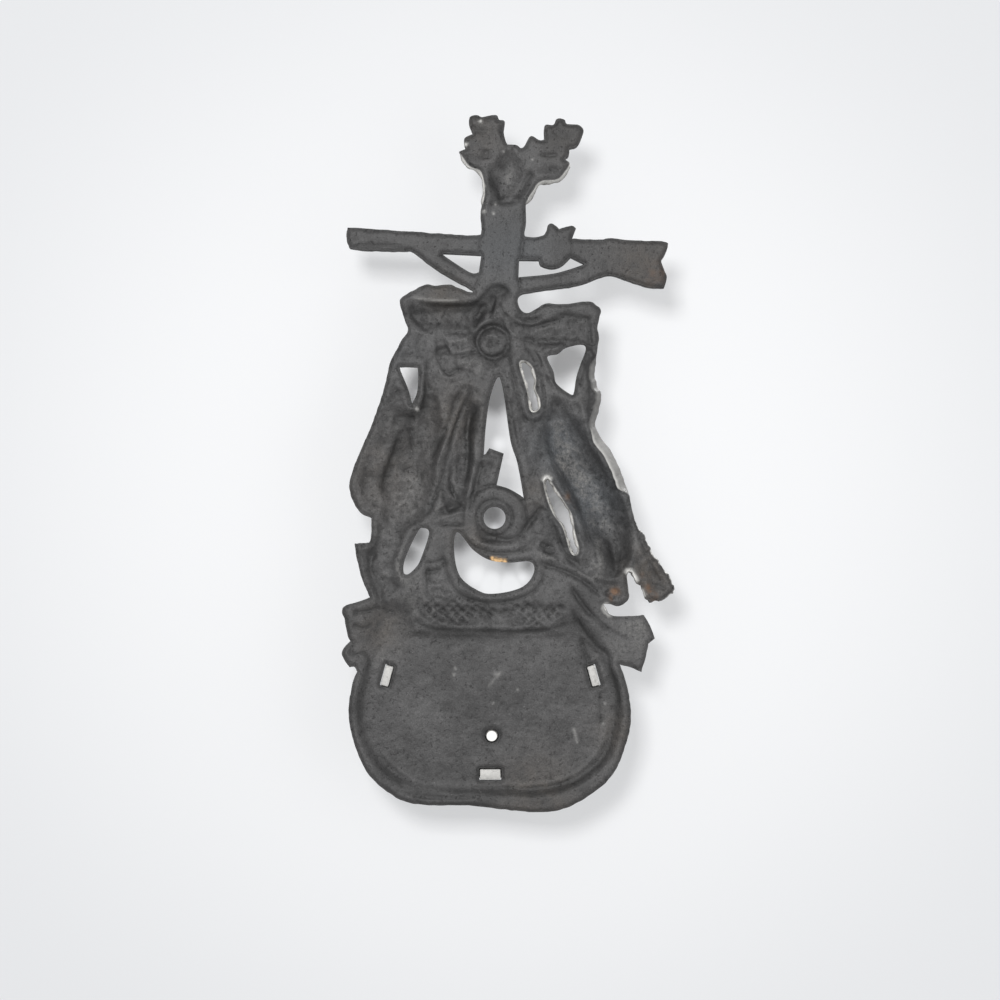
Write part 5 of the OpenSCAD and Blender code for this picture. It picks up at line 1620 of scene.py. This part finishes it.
        # Painted shade on the front where it is sunk below its surroundings, and painted highlight
        # on its raised parts
        raised = Sheet.blurred(front.depth, 1.1) - front.depth
        self.front_painted_shading = np.clip(raised / 0.55, -1, 1)
        broken = np.clip(0.8 + 0.55 * Sheet.grain(51, 0.7), 0, 1.5)
        self.rust, self.gold = self.patches(self.RUST) * broken, self.patches(self.GOLD)
        self.warm = self.patches(self.WARM)
        self.pale = np.maximum(self.patches(self.PALE_DOTS), self.lines(self.PALE_LINES))
        painted = np.clip(self.patches(self.PAINTED), 0, 1) - 0.5 * np.clip(self.front_painted_shading, 0, 1)
        broken = 0.2 * Sheet.grain(41, 1.6) + 0.17 * Sheet.grain(42, 0.5)
        self.worn = 0.6 * smooth_rise((painted - 0.95 + broken) / 0.3)

    @staticmethod
    def lines(drawn: tuple[Stroke, ...]) -> Array:
        """Draws strokes on a sheet of values.

        Args:
            drawn: The strokes.

        Returns:
            The values.
        """
        sheet = Sheet()
        for stroke in drawn:
            sheet.draw(stroke)
        return sheet.depth

    @staticmethod
    def patches(spots: Path) -> Array:
        """Lays soft round patches on a sheet of values.

        Args:
            spots: Places, radii and amounts of the patches.

        Returns:
            The values.
        """
        values = np.zeros(Sheet.SHAPE)
        for u, v, radius, amount in spots:
            values += amount * np.exp(-(((Sheet.U - u) ** 2 + (Sheet.V - v) ** 2) / radius ** 2))
        return values

    def values(self, back: Array, front: Array, walls: Array) -> dict[str, Array]:
        """Reads the values at the casting's points.

        Args:
            back: Flat points of the back.
            front: Flat points of the front.
            walls: Flat points of the rings between them.

        Returns:
            One value a point, by name.
        """
        none, everywhere = np.zeros(len(walls)), np.vstack((back, front, walls))
        read = {"rust": Sheet.sampled(self.rust, everywhere),
                "gold": Sheet.sampled(self.gold, everywhere)}
        for name, behind, before in (("hollow", self.back_painted_shading, self.front_painted_shading),
                                     ("warm", self.warm, 0.3 * self.warm),
                                     ("pale", self.pale, self.worn)):
            sides = Sheet.sampled(behind, back), Sheet.sampled(before, front)
            read[name] = np.concatenate((*sides, none))
        return read


@dataclass(frozen=True)
class Lug:
    """Lug of the pouch: its middle, its size and its lean in degrees."""

    u: float
    v: float
    width: float
    height: float
    lean: float


@dataclass
class MatchPouch:
    """Pocket for the matches: a swelling bag of iron with three lugs and a post for its screw."""

    middle: float = -1.4
    mouth: float = -38.5
    mouth_width: float = 62.8
    width: float = 76.8
    shoulder: float = 25.5
    height: float = 46.8
    depth: float = 22.0
    wall: float = 2.5
    ground: float = GROUND
    field: float = 2.4
    lug_length: float = 6.7
    lug_drop: float = 13.0
    bottom_lug: float = 3.3
    post_d: float = 9.6
    bore_d: float = 4.4
    post_rise: float = 0.6
    screw: tuple[float, float] = SCREW_AT
    roundness: float = 2.5
    over_mouth: float = 12.0
    even_inset: float = 10.0
    net_pitch: float = 7.0
    strap_half: float = 5.2
    strap_length: float = 27.0
    rosette_r: float = 9.6
    petals: int = 8
    relief_sunk: float = 0.55
    swell: Path = ((0, 0), (0.42, 0.8), (0.74, 4.4), (0.92, 9), (1, 14))

    @property
    def slope(self) -> float:
        """How far the sides lean outwards for each millimetre down from the mouth."""
        return (self.width - self.mouth_width) / 2 / self.shoulder

    def lugs(self) -> tuple[Lug, ...]:
        """Places the two side lugs and the bottom lug.

        Returns:
            The lugs.
        """
        lean = math.atan(self.slope)
        reach = self.mouth_width / 2 + self.slope * self.lug_drop - self.wall / 2 / math.cos(lean)
        sides = (Lug(self.middle + side * reach, self.mouth - self.lug_drop, self.wall,
                     self.lug_length, side * math.degrees(lean)) for side in (-1, 1))
        bottom = self.mouth - self.height + self.bottom_lug / 2
        return (*sides, Lug(self.middle, bottom, self.lug_length, self.bottom_lug, 0))

    @staticmethod
    def lug_edge(lug: Lug, gap: float, corner: float = 0.35, spacing: float = 0.5) -> Array:
        """Draws the edge of a lug, or of its slot with a gap.

        Args:
            lug: The lug.
            gap: Room around it.
            corner: Radius of its corners.
            spacing: Distance between two stations on its sides.

        Returns:
            The stations of the edge.
        """
        half = np.array((lug.width, lug.height)) / 2 + gap - corner
        middles = half * ((1, 1), (-1, 1), (-1, -1), (1, -1))
        run = []
        for k, (middle, following) in enumerate(zip(middles, np.roll(middles, -1, axis=0))):
            run += ring(*middle, corner, 90 * k, 90 * k + 90, 4)
            end, span = np.array(run[-1]), following - middle
            steps = max(1, round(np.linalg.norm(span) / spacing))
            run += [tuple(end + span * s / steps) for s in range(1, steps)]
        cos, sin = math.cos(math.radians(lug.lean)), math.sin(math.radians(lug.lean))
        return np.array(run) @ np.array(((cos, sin), (-sin, cos))) + (lug.u, lug.v)

    def outline(self, inset: float, count: int) -> Array:
        """Draws the pouch's outline from one end of its mouth round to the other.

        Args:
            inset: How far it is moved inwards.
            count: Number of its points.

        Returns:
            The points, with u measured from the pouch's middle.
        """
        high, tall = self.over_mouth, self.over_mouth + self.shoulder
        top = self.mouth_width / 2 - self.slope * high
        side = [(top + self.slope * tall * t, high - tall * t)
                for t in np.linspace(0, 1, 30, endpoint=False)]
        bottom = []
        for turn in np.radians(np.linspace(0, 180, 91)):
            across, down = math.cos(turn), abs(math.sin(turn))
            reach = math.copysign(abs(across) ** (2 / self.roundness), across)
            fall = down ** (2 / self.roundness)
            bottom.append((self.width / 2 * reach,
                           -self.shoulder - (self.height - self.shoulder) * fall))
        run = np.array(side + bottom + [(-u, v) for u, v in reversed(side)])
        along = np.gradient(run, axis=0)
        left = np.stack((along[:, 1], -along[:, 0]), axis=1)
        run = run + inset * left / np.linalg.norm(left, axis=1, keepdims=True)
        length = run_lengths(run)
        under = np.nonzero(run[:, 1] < 0)[0]
        ends = []
        for low, high in ((under[0], under[0] - 1), (under[-1], under[-1] + 1)):
            share = run[low, 1] / (run[low, 1] - run[high, 1])
            ends.append(length[low] + share * (length[high] - length[low]))
        places = np.linspace(*ends, count)
        return np.stack([np.interp(places, length, run[:, k]) for k in (0, 1)], axis=1)

    def shell(self, wall: float, count: int = 181) -> Array:
        """Lofts the pouch's outer face, or its inner face when a wall is given.

        Args:
            wall: Wall to take off.
            count: Points along each level.

        Returns:
            Levels of points with u, v and depth.
        """
        levels = []
        profile = tuple((share * (self.depth - wall), inset + wall) for share, inset in self.swell)
        for deep, inset in smooth_run(profile, 5):
            edge = self.outline(min(inset, self.even_inset), count)
            spine = np.column_stack((np.zeros(count), np.maximum(edge[:, 1], -self.shoulder)))
            inwards = (spine - edge) / np.linalg.norm(spine - edge, axis=1, keepdims=True)
            edge = edge + max(inset - self.even_inset, 0) * inwards
            levels.append(np.column_stack((edge, np.full(count, self.ground + deep))))
        last = levels[-1]
        fall = np.interp(np.abs(np.linspace(-1, 1, count)), (0, 1), (0.42 * last[:, 1].min(), 0))
        seam = np.column_stack((np.zeros(count), fall, last[:, 2]))
        levels += [last * (1 - t) + seam * t for t in np.linspace(0, 1, 22)[1:]]
        return np.stack(levels) + (self.middle, self.mouth, 0)

    def relief(self, points: Array) -> Array:
        """Height of the pouch's ornament over its plain face.

        Args:
            points: Points of the outer face.

        Returns:
            One height a point.
        """
        u, v = points[..., 0] - self.middle, points[..., 1] - self.mouth
        deep = points[..., 2] - self.ground
        du, dv = points[..., 0] - self.screw[0], points[..., 1] - self.screw[1]
        far, turn = np.hypot(du, dv), np.arctan2(dv, du)
        rosette = smooth_rise((self.rosette_r - far) / 0.6 + 0.5)
        face = smooth_rise((deep - 7) / 5) * smooth_rise((-v - 5) / 2)
        height = 0.7 * diamond_net(u, v, self.net_pitch) * face * (1 - rosette)
        strap = smooth_rise((self.strap_half - np.abs(u)) / 0.5 + 0.5)
        strap = strap * smooth_rise(v + self.strap_length + 0.5)
        height = height * (1 - strap) + 0.75 * strap * smooth_rise((deep - 16) / 3)
        petal = 0.5 + 0.5 * np.cos(self.petals * turn)
        flower = 0.3 + 0.6 * petal * smooth_rise((self.rosette_r - 0.8 - far) / 2)
        height = height * (1 - rosette) + rosette * smooth_rise((deep - 15) / 3) * flower
        bead = 0.9 * bell(v + 1.4, 1.2) + 0.4 * bell(v + 4.2, 0.5)
        bead += 0.5 * bell(deep - 1.6, 1.1) * smooth_rise((-v - 1) / 2)
        return np.maximum(height, bead)

    @staticmethod
    def shell_faces(rows: int, count: int) -> list[tuple[int, ...]]:
        """Joins the outer face's points, then those of the inner face, and the rims between them.

        Args:
            rows: Number of levels of each face.
            count: Points along each level.

        Returns:
            The faces as point numbers.
        """
        second = rows * count
        starts = [r * count for r in range(rows - 1)]
        quads = [(a, a + 1, a + count + 1, a + count)
                 for start in starts for a in range(start, start + count - 1)]
        faces = quads + [tuple(second + i for i in reversed(quad)) for quad in quads]
        rims = [(start, start + count) for start in starts]
        rims += [(start + 2 * count - 1, start + count - 1) for start in starts]
        rims += [(c + 1, c) for c in range(count - 1)]
        return faces + [(a, b, second + b, second + a) for a, b in rims]

    def build(self) -> Piece:
        """Makes the pouch as one piece.

        Returns:
            The pouch.
        """
        outer, inner = self.shell(0), self.shell(self.wall)
        rows, count = outer.shape[:2]
        normal = np.cross(np.gradient(outer, axis=0), np.gradient(outer, axis=1))
        normal /= np.maximum(np.linalg.norm(normal, axis=2, keepdims=True), TINY)
        if normal[rows // 2, count // 2, 2] < 0:
            normal = -normal
        height = self.relief(outer)
        outer = outer + normal * (height - self.relief_sunk)[..., None]
        outer[..., 1] = np.minimum(outer[..., 1], self.mouth)
        outer[..., 2] = np.maximum(outer[..., 2], self.ground)
        flat = np.vstack((outer.reshape(-1, 3), inner.reshape(-1, 3)))
        # Painted shade on the pouch's low parts and inside it, and painted highlight on its raised
        # net, strap and rosette
        worn = np.clip(0.5 - 1.4 * height, -0.6, 0.6).ravel()
        values = {"hollow": np.concatenate((worn, np.full(rows * count, 0.4)))}
        shell = mesh_object("match_pouch_casting", standing(flat[:, :2], flat[:, 2]),
                            self.shell_faces(rows, count), values)
        pouch = joined([shell, self.post(), *(self.lug_piece(lug) for lug in self.lugs())])
        in_edit_mode(pouch, lambda: (bpy.ops.mesh.remove_doubles(threshold=0.000002),
                                     bpy.ops.mesh.normals_make_consistent(inside=False)))
        return pouch

    def post(self) -> Piece:
        """Turns the bored post that the screw goes through.

        Returns:
            The post.
        """
        length = self.depth + self.post_rise
        deselect()
        bpy.ops.mesh.primitive_cylinder_add(
            vertices=48, radius=self.post_d / 2 * MM, depth=length * MM,
            rotation=(math.pi / 2, 0, 0),
            location=(-self.screw[0] * MM, -(self.ground + length / 2) * MM, self.screw[1] * MM))
        post = fixed()

        def bore() -> None:
            """Opens both ends and joins them with the bore."""
            bpy.ops.mesh.select_mode(type="FACE")
            bpy.ops.mesh.select_all(action="DESELECT")
            bpy.ops.object.mode_set(mode="OBJECT")
            for polygon in post.data.polygons:
                polygon.select = abs(polygon.normal.y) > 0.9
            bpy.ops.object.mode_set(mode="EDIT")
            bpy.ops.mesh.inset(thickness=(self.post_d - self.bore_d) / 2 * MM)
            bpy.ops.mesh.bridge_edge_loops()
            bpy.ops.mesh.select_mode(type="VERT")

        in_edit_mode(post, bore)
        return with_values(post, {})

    def lug_piece(self, lug: Lug) -> Piece:
        """Makes one lug with a filed end.

        Args:
            lug: The lug.

        Returns:
            The lug.
        """
        edge, centre = self.lug_edge(lug, 0), np.array((lug.u, lug.v))
        count, pairs = len(edge), closed_pairs([edge])
        levels = ((0.93, self.field), (1.0, self.field + 0.25), (1.0, self.ground + self.wall))
        flat = np.vstack([centre + (edge - centre) * share for share, _ in levels])
        deep = np.repeat([deep for _, deep in levels], count)
        faces = [tuple(range(count)), tuple(reversed(range(2 * count, 3 * count)))]
        faces += [(low + b, low + a, low + count + a, low + count + b)
                  for low in (0, count) for a, b in pairs]
        filed = np.concatenate((np.full(2 * count, 0.64), np.zeros(count)))
        name = f"lug_{lug.u:.0f}_{lug.v:.0f}"
        return mesh_object(name, standing(flat, deep), faces, {"pale": filed})


def deselect() -> None:
    """Leaves nothing selected."""
    bpy.ops.object.select_all(action="DESELECT")


def fixed() -> Piece:
    """Applies the place, turn and size of the active object, which is returned."""
    bpy.ops.object.transform_apply(location=True, rotation=True, scale=True)
    return bpy.context.object


def pick(*pieces: Piece) -> None:
    """Selects some pieces alone and makes the first one active.

    Args:
        pieces: The pieces.
    """
    deselect()
    for piece in pieces:
        piece.select_set(True)
    bpy.context.view_layer.objects.active = pieces[0]


def joined(parts: list[Piece]) -> Piece:
    """Joins parts into the first one.

    Args:
        parts: The parts.

    Returns:
        The first part, which then holds them all.
    """
    pick(*parts)
    bpy.ops.object.join()
    return parts[0]


def shaped(piece: Piece) -> Piece:
    """Applies a piece's modifiers in their order.

    Args:
        piece: The piece.

    Returns:
        The same piece.
    """
    pick(piece)
    for name in [modifier.name for modifier in piece.modifiers]:
        bpy.ops.object.modifier_apply(modifier=name)
    return piece


def in_edit_mode(piece: Piece, work: Callable[[], object]) -> None:
    """Runs some work on a piece in edit mode, with all of it selected.

    Args:
        piece: The piece.
        work: What is run.
    """
    pick(piece)
    bpy.ops.object.mode_set(mode="EDIT")
    bpy.ops.mesh.select_all(action="SELECT")
    work()
    bpy.ops.object.mode_set(mode="OBJECT")


def close_ends() -> None:
    """Closes the open ends of the piece in edit mode and turns its faces outwards."""
    bpy.ops.mesh.select_all(action="DESELECT")
    bpy.ops.mesh.select_non_manifold()
    bpy.ops.mesh.fill_holes(sides=0)
    bpy.ops.mesh.select_all(action="SELECT")
    bpy.ops.mesh.normals_make_consistent(inside=False)


@dataclass
class PouchScrew:
    """Round headed screw with a driver slot and a cut thread."""

    place: tuple[float, float] = SCREW_AT
    radius: float = 2.1
    root: float = 1.72
    pitch: float = 0.8
    thread_length: float = 12.0
    start: float = 27.6
    end: float = 2.4
    head_r: float = 4.1
    head_height: float = 2.8
    slot: float = 1.2
    worn: float = 0.12

    def build(self) -> Piece:
        """Makes the screw as one piece.

        Returns:
            The screw.
        """
        screw = joined([self.head(), self.shank(), self.thread()])
        screw.name = screw.data.name = "pouch_screw_turned"
        in_edit_mode(screw, lambda: bpy.ops.transform.rotate(
            value=math.pi / 2, orient_axis="X", center_override=(0, 0, 0)))
        points = points_of(screw)
        if points[:, 1].max() > -points[:, 1].min():  # the head has to point to the front
            points[:, 1:] *= -1
        points += np.array((-self.place[0], 0, self.place[1]), np.float32) * MM
        move_points(screw, points)
        pick(screw)
        bpy.ops.object.shade_smooth_by_angle(angle=math.radians(35))
        filed = smooth_rise((points[:, 1] / MM + self.end + 0.4) / 0.3)
        return with_values(screw, {"pale": filed})

    def head(self) -> Piece:
        """Domes the head and cuts its slot. Depth runs along Z here.

        Returns:
            The head.
        """
        deselect()
        bpy.ops.mesh.primitive_uv_sphere_add(segments=48, ring_count=32, radius=1)
        head = bpy.context.object
        head.scale = (self.head_r * MM, self.head_r * MM, self.head_height * MM)
        fixed()
        in_edit_mode(head, lambda: bpy.ops.mesh.bisect(
            plane_co=(0, 0, 0), plane_no=(0, 0, 1), clear_inner=True, use_fill=True))
        deselect()
        bpy.ops.mesh.primitive_cube_add(size=1, location=(0, 0, self.head_height * 0.75 * MM))
        cutter = bpy.context.object
        cutter.scale = (3 * self.head_r * MM, self.slot * MM, self.head_height / 2 * MM)
        fixed()
        cut = head.modifiers.new("slot", "BOOLEAN")
        cut.operation, cut.object, cut.solver = "DIFFERENCE", cutter, "EXACT"
        soft = head.modifiers.new("worn", "BEVEL")
        soft.width, soft.segments, soft.limit_method = self.worn * MM, 2, "ANGLE"
        shaped(head)
        bpy.data.objects.remove(cutter)
        in_edit_mode(head, lambda: bpy.ops.transform.translate(value=(0, 0, self.start * MM)))
        return head

    @staticmethod
    def wound(name: str, profile: Path, edges: list, steps: int, rise: float = 0,
              turns: int = 1) -> Piece:
        """Turns a profile round the Z axis.

        Args:
            name: Name of the part.
            profile: Radii and depths of the profile.
            edges: Its edges as point numbers.
            steps: Steps in one turn.
            rise: Rise in one turn.
            turns: Number of turns.

        Returns:
            The part.
        """
        mesh = bpy.data.meshes.new(name)
        mesh.from_pydata([(r * MM, 0, z * MM) for r, z in profile], edges, [])
        part = placed(name, mesh)
        turned = part.modifiers.new("turned", "SCREW")
        turned.axis, turned.angle = "Z", 2 * math.pi
        turned.steps = turned.render_steps = steps
        turned.screw_offset, turned.iterations = rise * MM, turns
        return shaped(part)

    def shank(self) -> Piece:
        """Turns the plain part, the core of the thread and the filed end.

        Returns:
            The shank.
        """
        neck = self.end + self.thread_length
        profile = ((self.radius, self.start), (self.radius, neck + 0.6), (self.root, neck),
                   (self.root, self.end + 0.3), (self.root - 0.05, self.end))
        shank = self.wound("shank", profile, [(i, i + 1) for i in range(len(profile) - 1)], 40)
        in_edit_mode(shank, lambda: (bpy.ops.mesh.remove_doubles(threshold=0.000005), close_ends()))
        return shank

    def thread(self) -> Piece:
        """Cuts the thread as a ridge wound round its core.

        Returns:
            The thread.
        """
        low, crest, foot = self.end + 0.5, self.radius - 0.05, self.root - 0.12
        profile = tuple((radius, low + share * self.pitch) for radius, share in (
            (foot, 0), (crest, 0.34), (crest, 0.5), (foot, 0.84)))
        turns = int((self.thread_length - 0.8) / self.pitch)
        edges = [(0, 1), (1, 2), (2, 3), (3, 0)]
        thread = self.wound("thread", profile, edges, 32, self.pitch, turns)
        in_edit_mode(thread, close_ends)
        return thread


@dataclass(frozen=True)
class Lamp:
    """Soft square lamp that faces the holder."""

    name: str
    place: tuple[float, float, float]
    size: float
    power: float

    def hang(self) -> None:
        """Hangs the lamp in its place."""
        light = bpy.data.lights.new(self.name, "AREA")
        light.size, light.energy = self.size, self.power
        lamp = placed(self.name, light)
        lamp.location = self.place
        lamp.rotation_euler = (-Vector(self.place)).to_track_quat("-Z", "Y").to_euler()


@dataclass
class Studio:
    """White table under the holder's front with painted shade and light, soft lamps and the camera
    over its back.
    """

    white: Colour = (0.9, 0.905, 0.915)
    bright: Colour = (0.9, 0.91, 0.925)
    # tone that the table dims to towards the outside, a painted falloff
    painted_falloff: Colour = (0.6, 0.615, 0.64)
    lamps: tuple[Lamp, ...] = (
        Lamp("key", (0.17, 1.0, 0.27), 0.22, 7.6), Lamp("fill", (-0.7, 0.6, -0.1), 0.8, 2.0),
        Lamp("front_key", (-0.55, -0.7, 0.65), 0.45, 11.0),
        Lamp("front_fill", (0.7, -0.6, 0.0), 0.8, 2.0))
    table_depth: float = 31.0
    table_size: float = 6.0
    view: tuple[float, float] = (-1.79, 5.85)
    distance: float = 0.8
    picture_width: float = 0.325
    sensor: float = 36.0
    # spots behind narrow gaps, where the table's glow is lowered to paint their shadow darker
    painted_gap_shadows: Path = (
        (-1, 1.6, 3.2), (10.6, 48, 3.6), (12.6, 42, 3.6), (13.2, 37, 3.4), (17.4, 10, 3.4),
        (20, 4, 4), (23.4, -1, 4.6), (25.4, -7, 4.6), (26.4, -11, 4), (-25.4, -5.4, 2.8),
        (-28.4, -11.4, 2.4), (-27.6, 45, 5), (-26.6, 39, 3), (0.6, 41, 6.4), (24, 50, 6),
        (5.6, 19, 2), (-12, -7, 3.4), (4.6, -13.6, 1), (11, -15, 0.8))
    # spots behind wide gaps, where the table's glow is raised to paint light
    painted_gap_light: Path = (
        (-6, -19, 5), (-1, -21.5, 6), (5, -22, 6), (9, -19.6, 4), (1.6, 24, 4), (0, -3, 2.4),
        (25, 42, 3))

    def build(self) -> None:
        """Sets up the table, the lamps, the world and the camera."""
        bpy.context.scene.view_settings.view_transform = "Standard"
        self.table()
        for lamp in self.lamps:
            lamp.hang()
        self.world()
        self.camera()

    def table(self) -> None:
        """Lays the table under the holder's front, where only looks from behind meet it."""
        deselect()
        bpy.ops.mesh.primitive_plane_add(size=self.table_size, rotation=(-math.pi / 2, 0, 0),
                                         location=(0, -self.table_depth * MM, 0))
        table = fixed()
        table.name = "table"
        s = Shader(bpy.data.materials.new("table_white"))
        under = s.value("ShaderNodeNewGeometry", "Backfacing")
        clear = s.node("ShaderNodeBsdfTransparent").outputs[0]
        shaded = s.node("ShaderNodeBsdfDiffuse", None, {"Color": (*self.white, 1)}).outputs[0]
        bright, painted_falloff = (s.node("ShaderNodeEmission", None, {"Color": (*colour, 1)}).outputs[0]
                       for colour in (self.bright, self.painted_falloff))
        # Painted shadow behind the narrow gaps and painted light behind the wide ones, by the share
        # of glow
        dark, lit = self.off(s, self.painted_gap_shadows), self.off(s, self.painted_gap_light)
        share = 0.04 + s.ramp(dark, -2 * MM, 4 * MM) * 0.48 + s.ramp(lit, 0, -4 * MM) * 0.4
        # Painted falloff: the table dims towards the outside of the picture
        outer = s.ramp(self.off(s, ((-self.view[0], self.view[1], 0),)), 0.06, 0.24) * 0.4
        toned = s.mix_surfaces(outer, s.mix_surfaces(share, shaded, bright), painted_falloff)
        both = s.mix_surfaces(s.looked_at() * (1.0 - under), clear, toned)
        table.data.materials.append(s.close(both))

    def off(self, s: Shader, gaps: Path) -> Value:
        """Distance on the table from the nearest of the round spots that are seen through gaps.

        Args:
            s: The table's material.
            gaps: Middles and radii of the spots.

        Returns:
            The distance in metres, below 0 inside a spot.
        """
        place, nearest = s.place(), None
        spread = 1 + self.table_depth * MM / self.distance
        for u, v, radius in gaps:
            x, z = (middle + (at - middle) * spread for middle, at in zip(self.view, (-u, v)))
            spot = (x * MM, -self.table_depth * MM, z * MM)
            far = s.value("ShaderNodeVectorMath", "Value", {"operation": "DISTANCE"},
                          {0: place, 1: spot}) - radius * MM
            nearest = far if nearest is None else nearest.least(far)
        return nearest

    def world(self) -> None:
        """Makes the surroundings white to the camera and soft to everything else."""
        s = Shader(bpy.data.worlds.new("white_room"))
        sky = s.node("ShaderNodeBackground", None, {
            "Color": (1, 1, 1, 1), "Strength": s.looked_at() * 0.6 + 0.4})
        bpy.context.scene.world = s.close(sky.outputs[0])

    def camera(self) -> None:
        """Hangs the camera straight over the holder's back."""
        lens = bpy.data.cameras.new("camera")
        lens.sensor_width = self.sensor
        lens.lens = self.sensor * self.distance / self.picture_width
        camera = placed("camera", lens)
        camera.location = (self.view[0] * MM, self.distance, self.view[1] * MM)
        camera.rotation_euler = (math.pi / 2, 0, math.pi)
        bpy.context.scene.camera = camera


def hold(piece: Piece, node: str, body: str, material: bpy.types.Material) -> None:
    """Gives a piece its finish and its place in the frame.

    Args:
        piece: The piece.
        node: Solid that it stands for.
        body: Body that it rides on.
        material: Its finish.
    """
    low, high = (np.array(corner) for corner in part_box(node))
    move_points(piece, points_of(piece).clip(low, high))
    piece.data.materials.clear()
    piece.data.materials.append(material)
    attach(piece, body)
    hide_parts(node)
    LOG.info("%s: %d faces on %s", piece.name, len(piece.data.polygons), body)


def main() -> None:
    """Builds the holder's pieces in order."""
    logging.basicConfig(level=logging.INFO, format="%(message)s")
    iron, steel = IronFinish().material(), SteelFinish().material()
    hold(BackPlate().build(), "back_plate", "plate", iron)
    hold(MatchPouch().build(), "match_pouch", "pouch", iron)
    hold(PouchScrew().build(), "pouch_screw", "screw", steel)
    Studio().build()


if __name__ == "__main__":
    main()
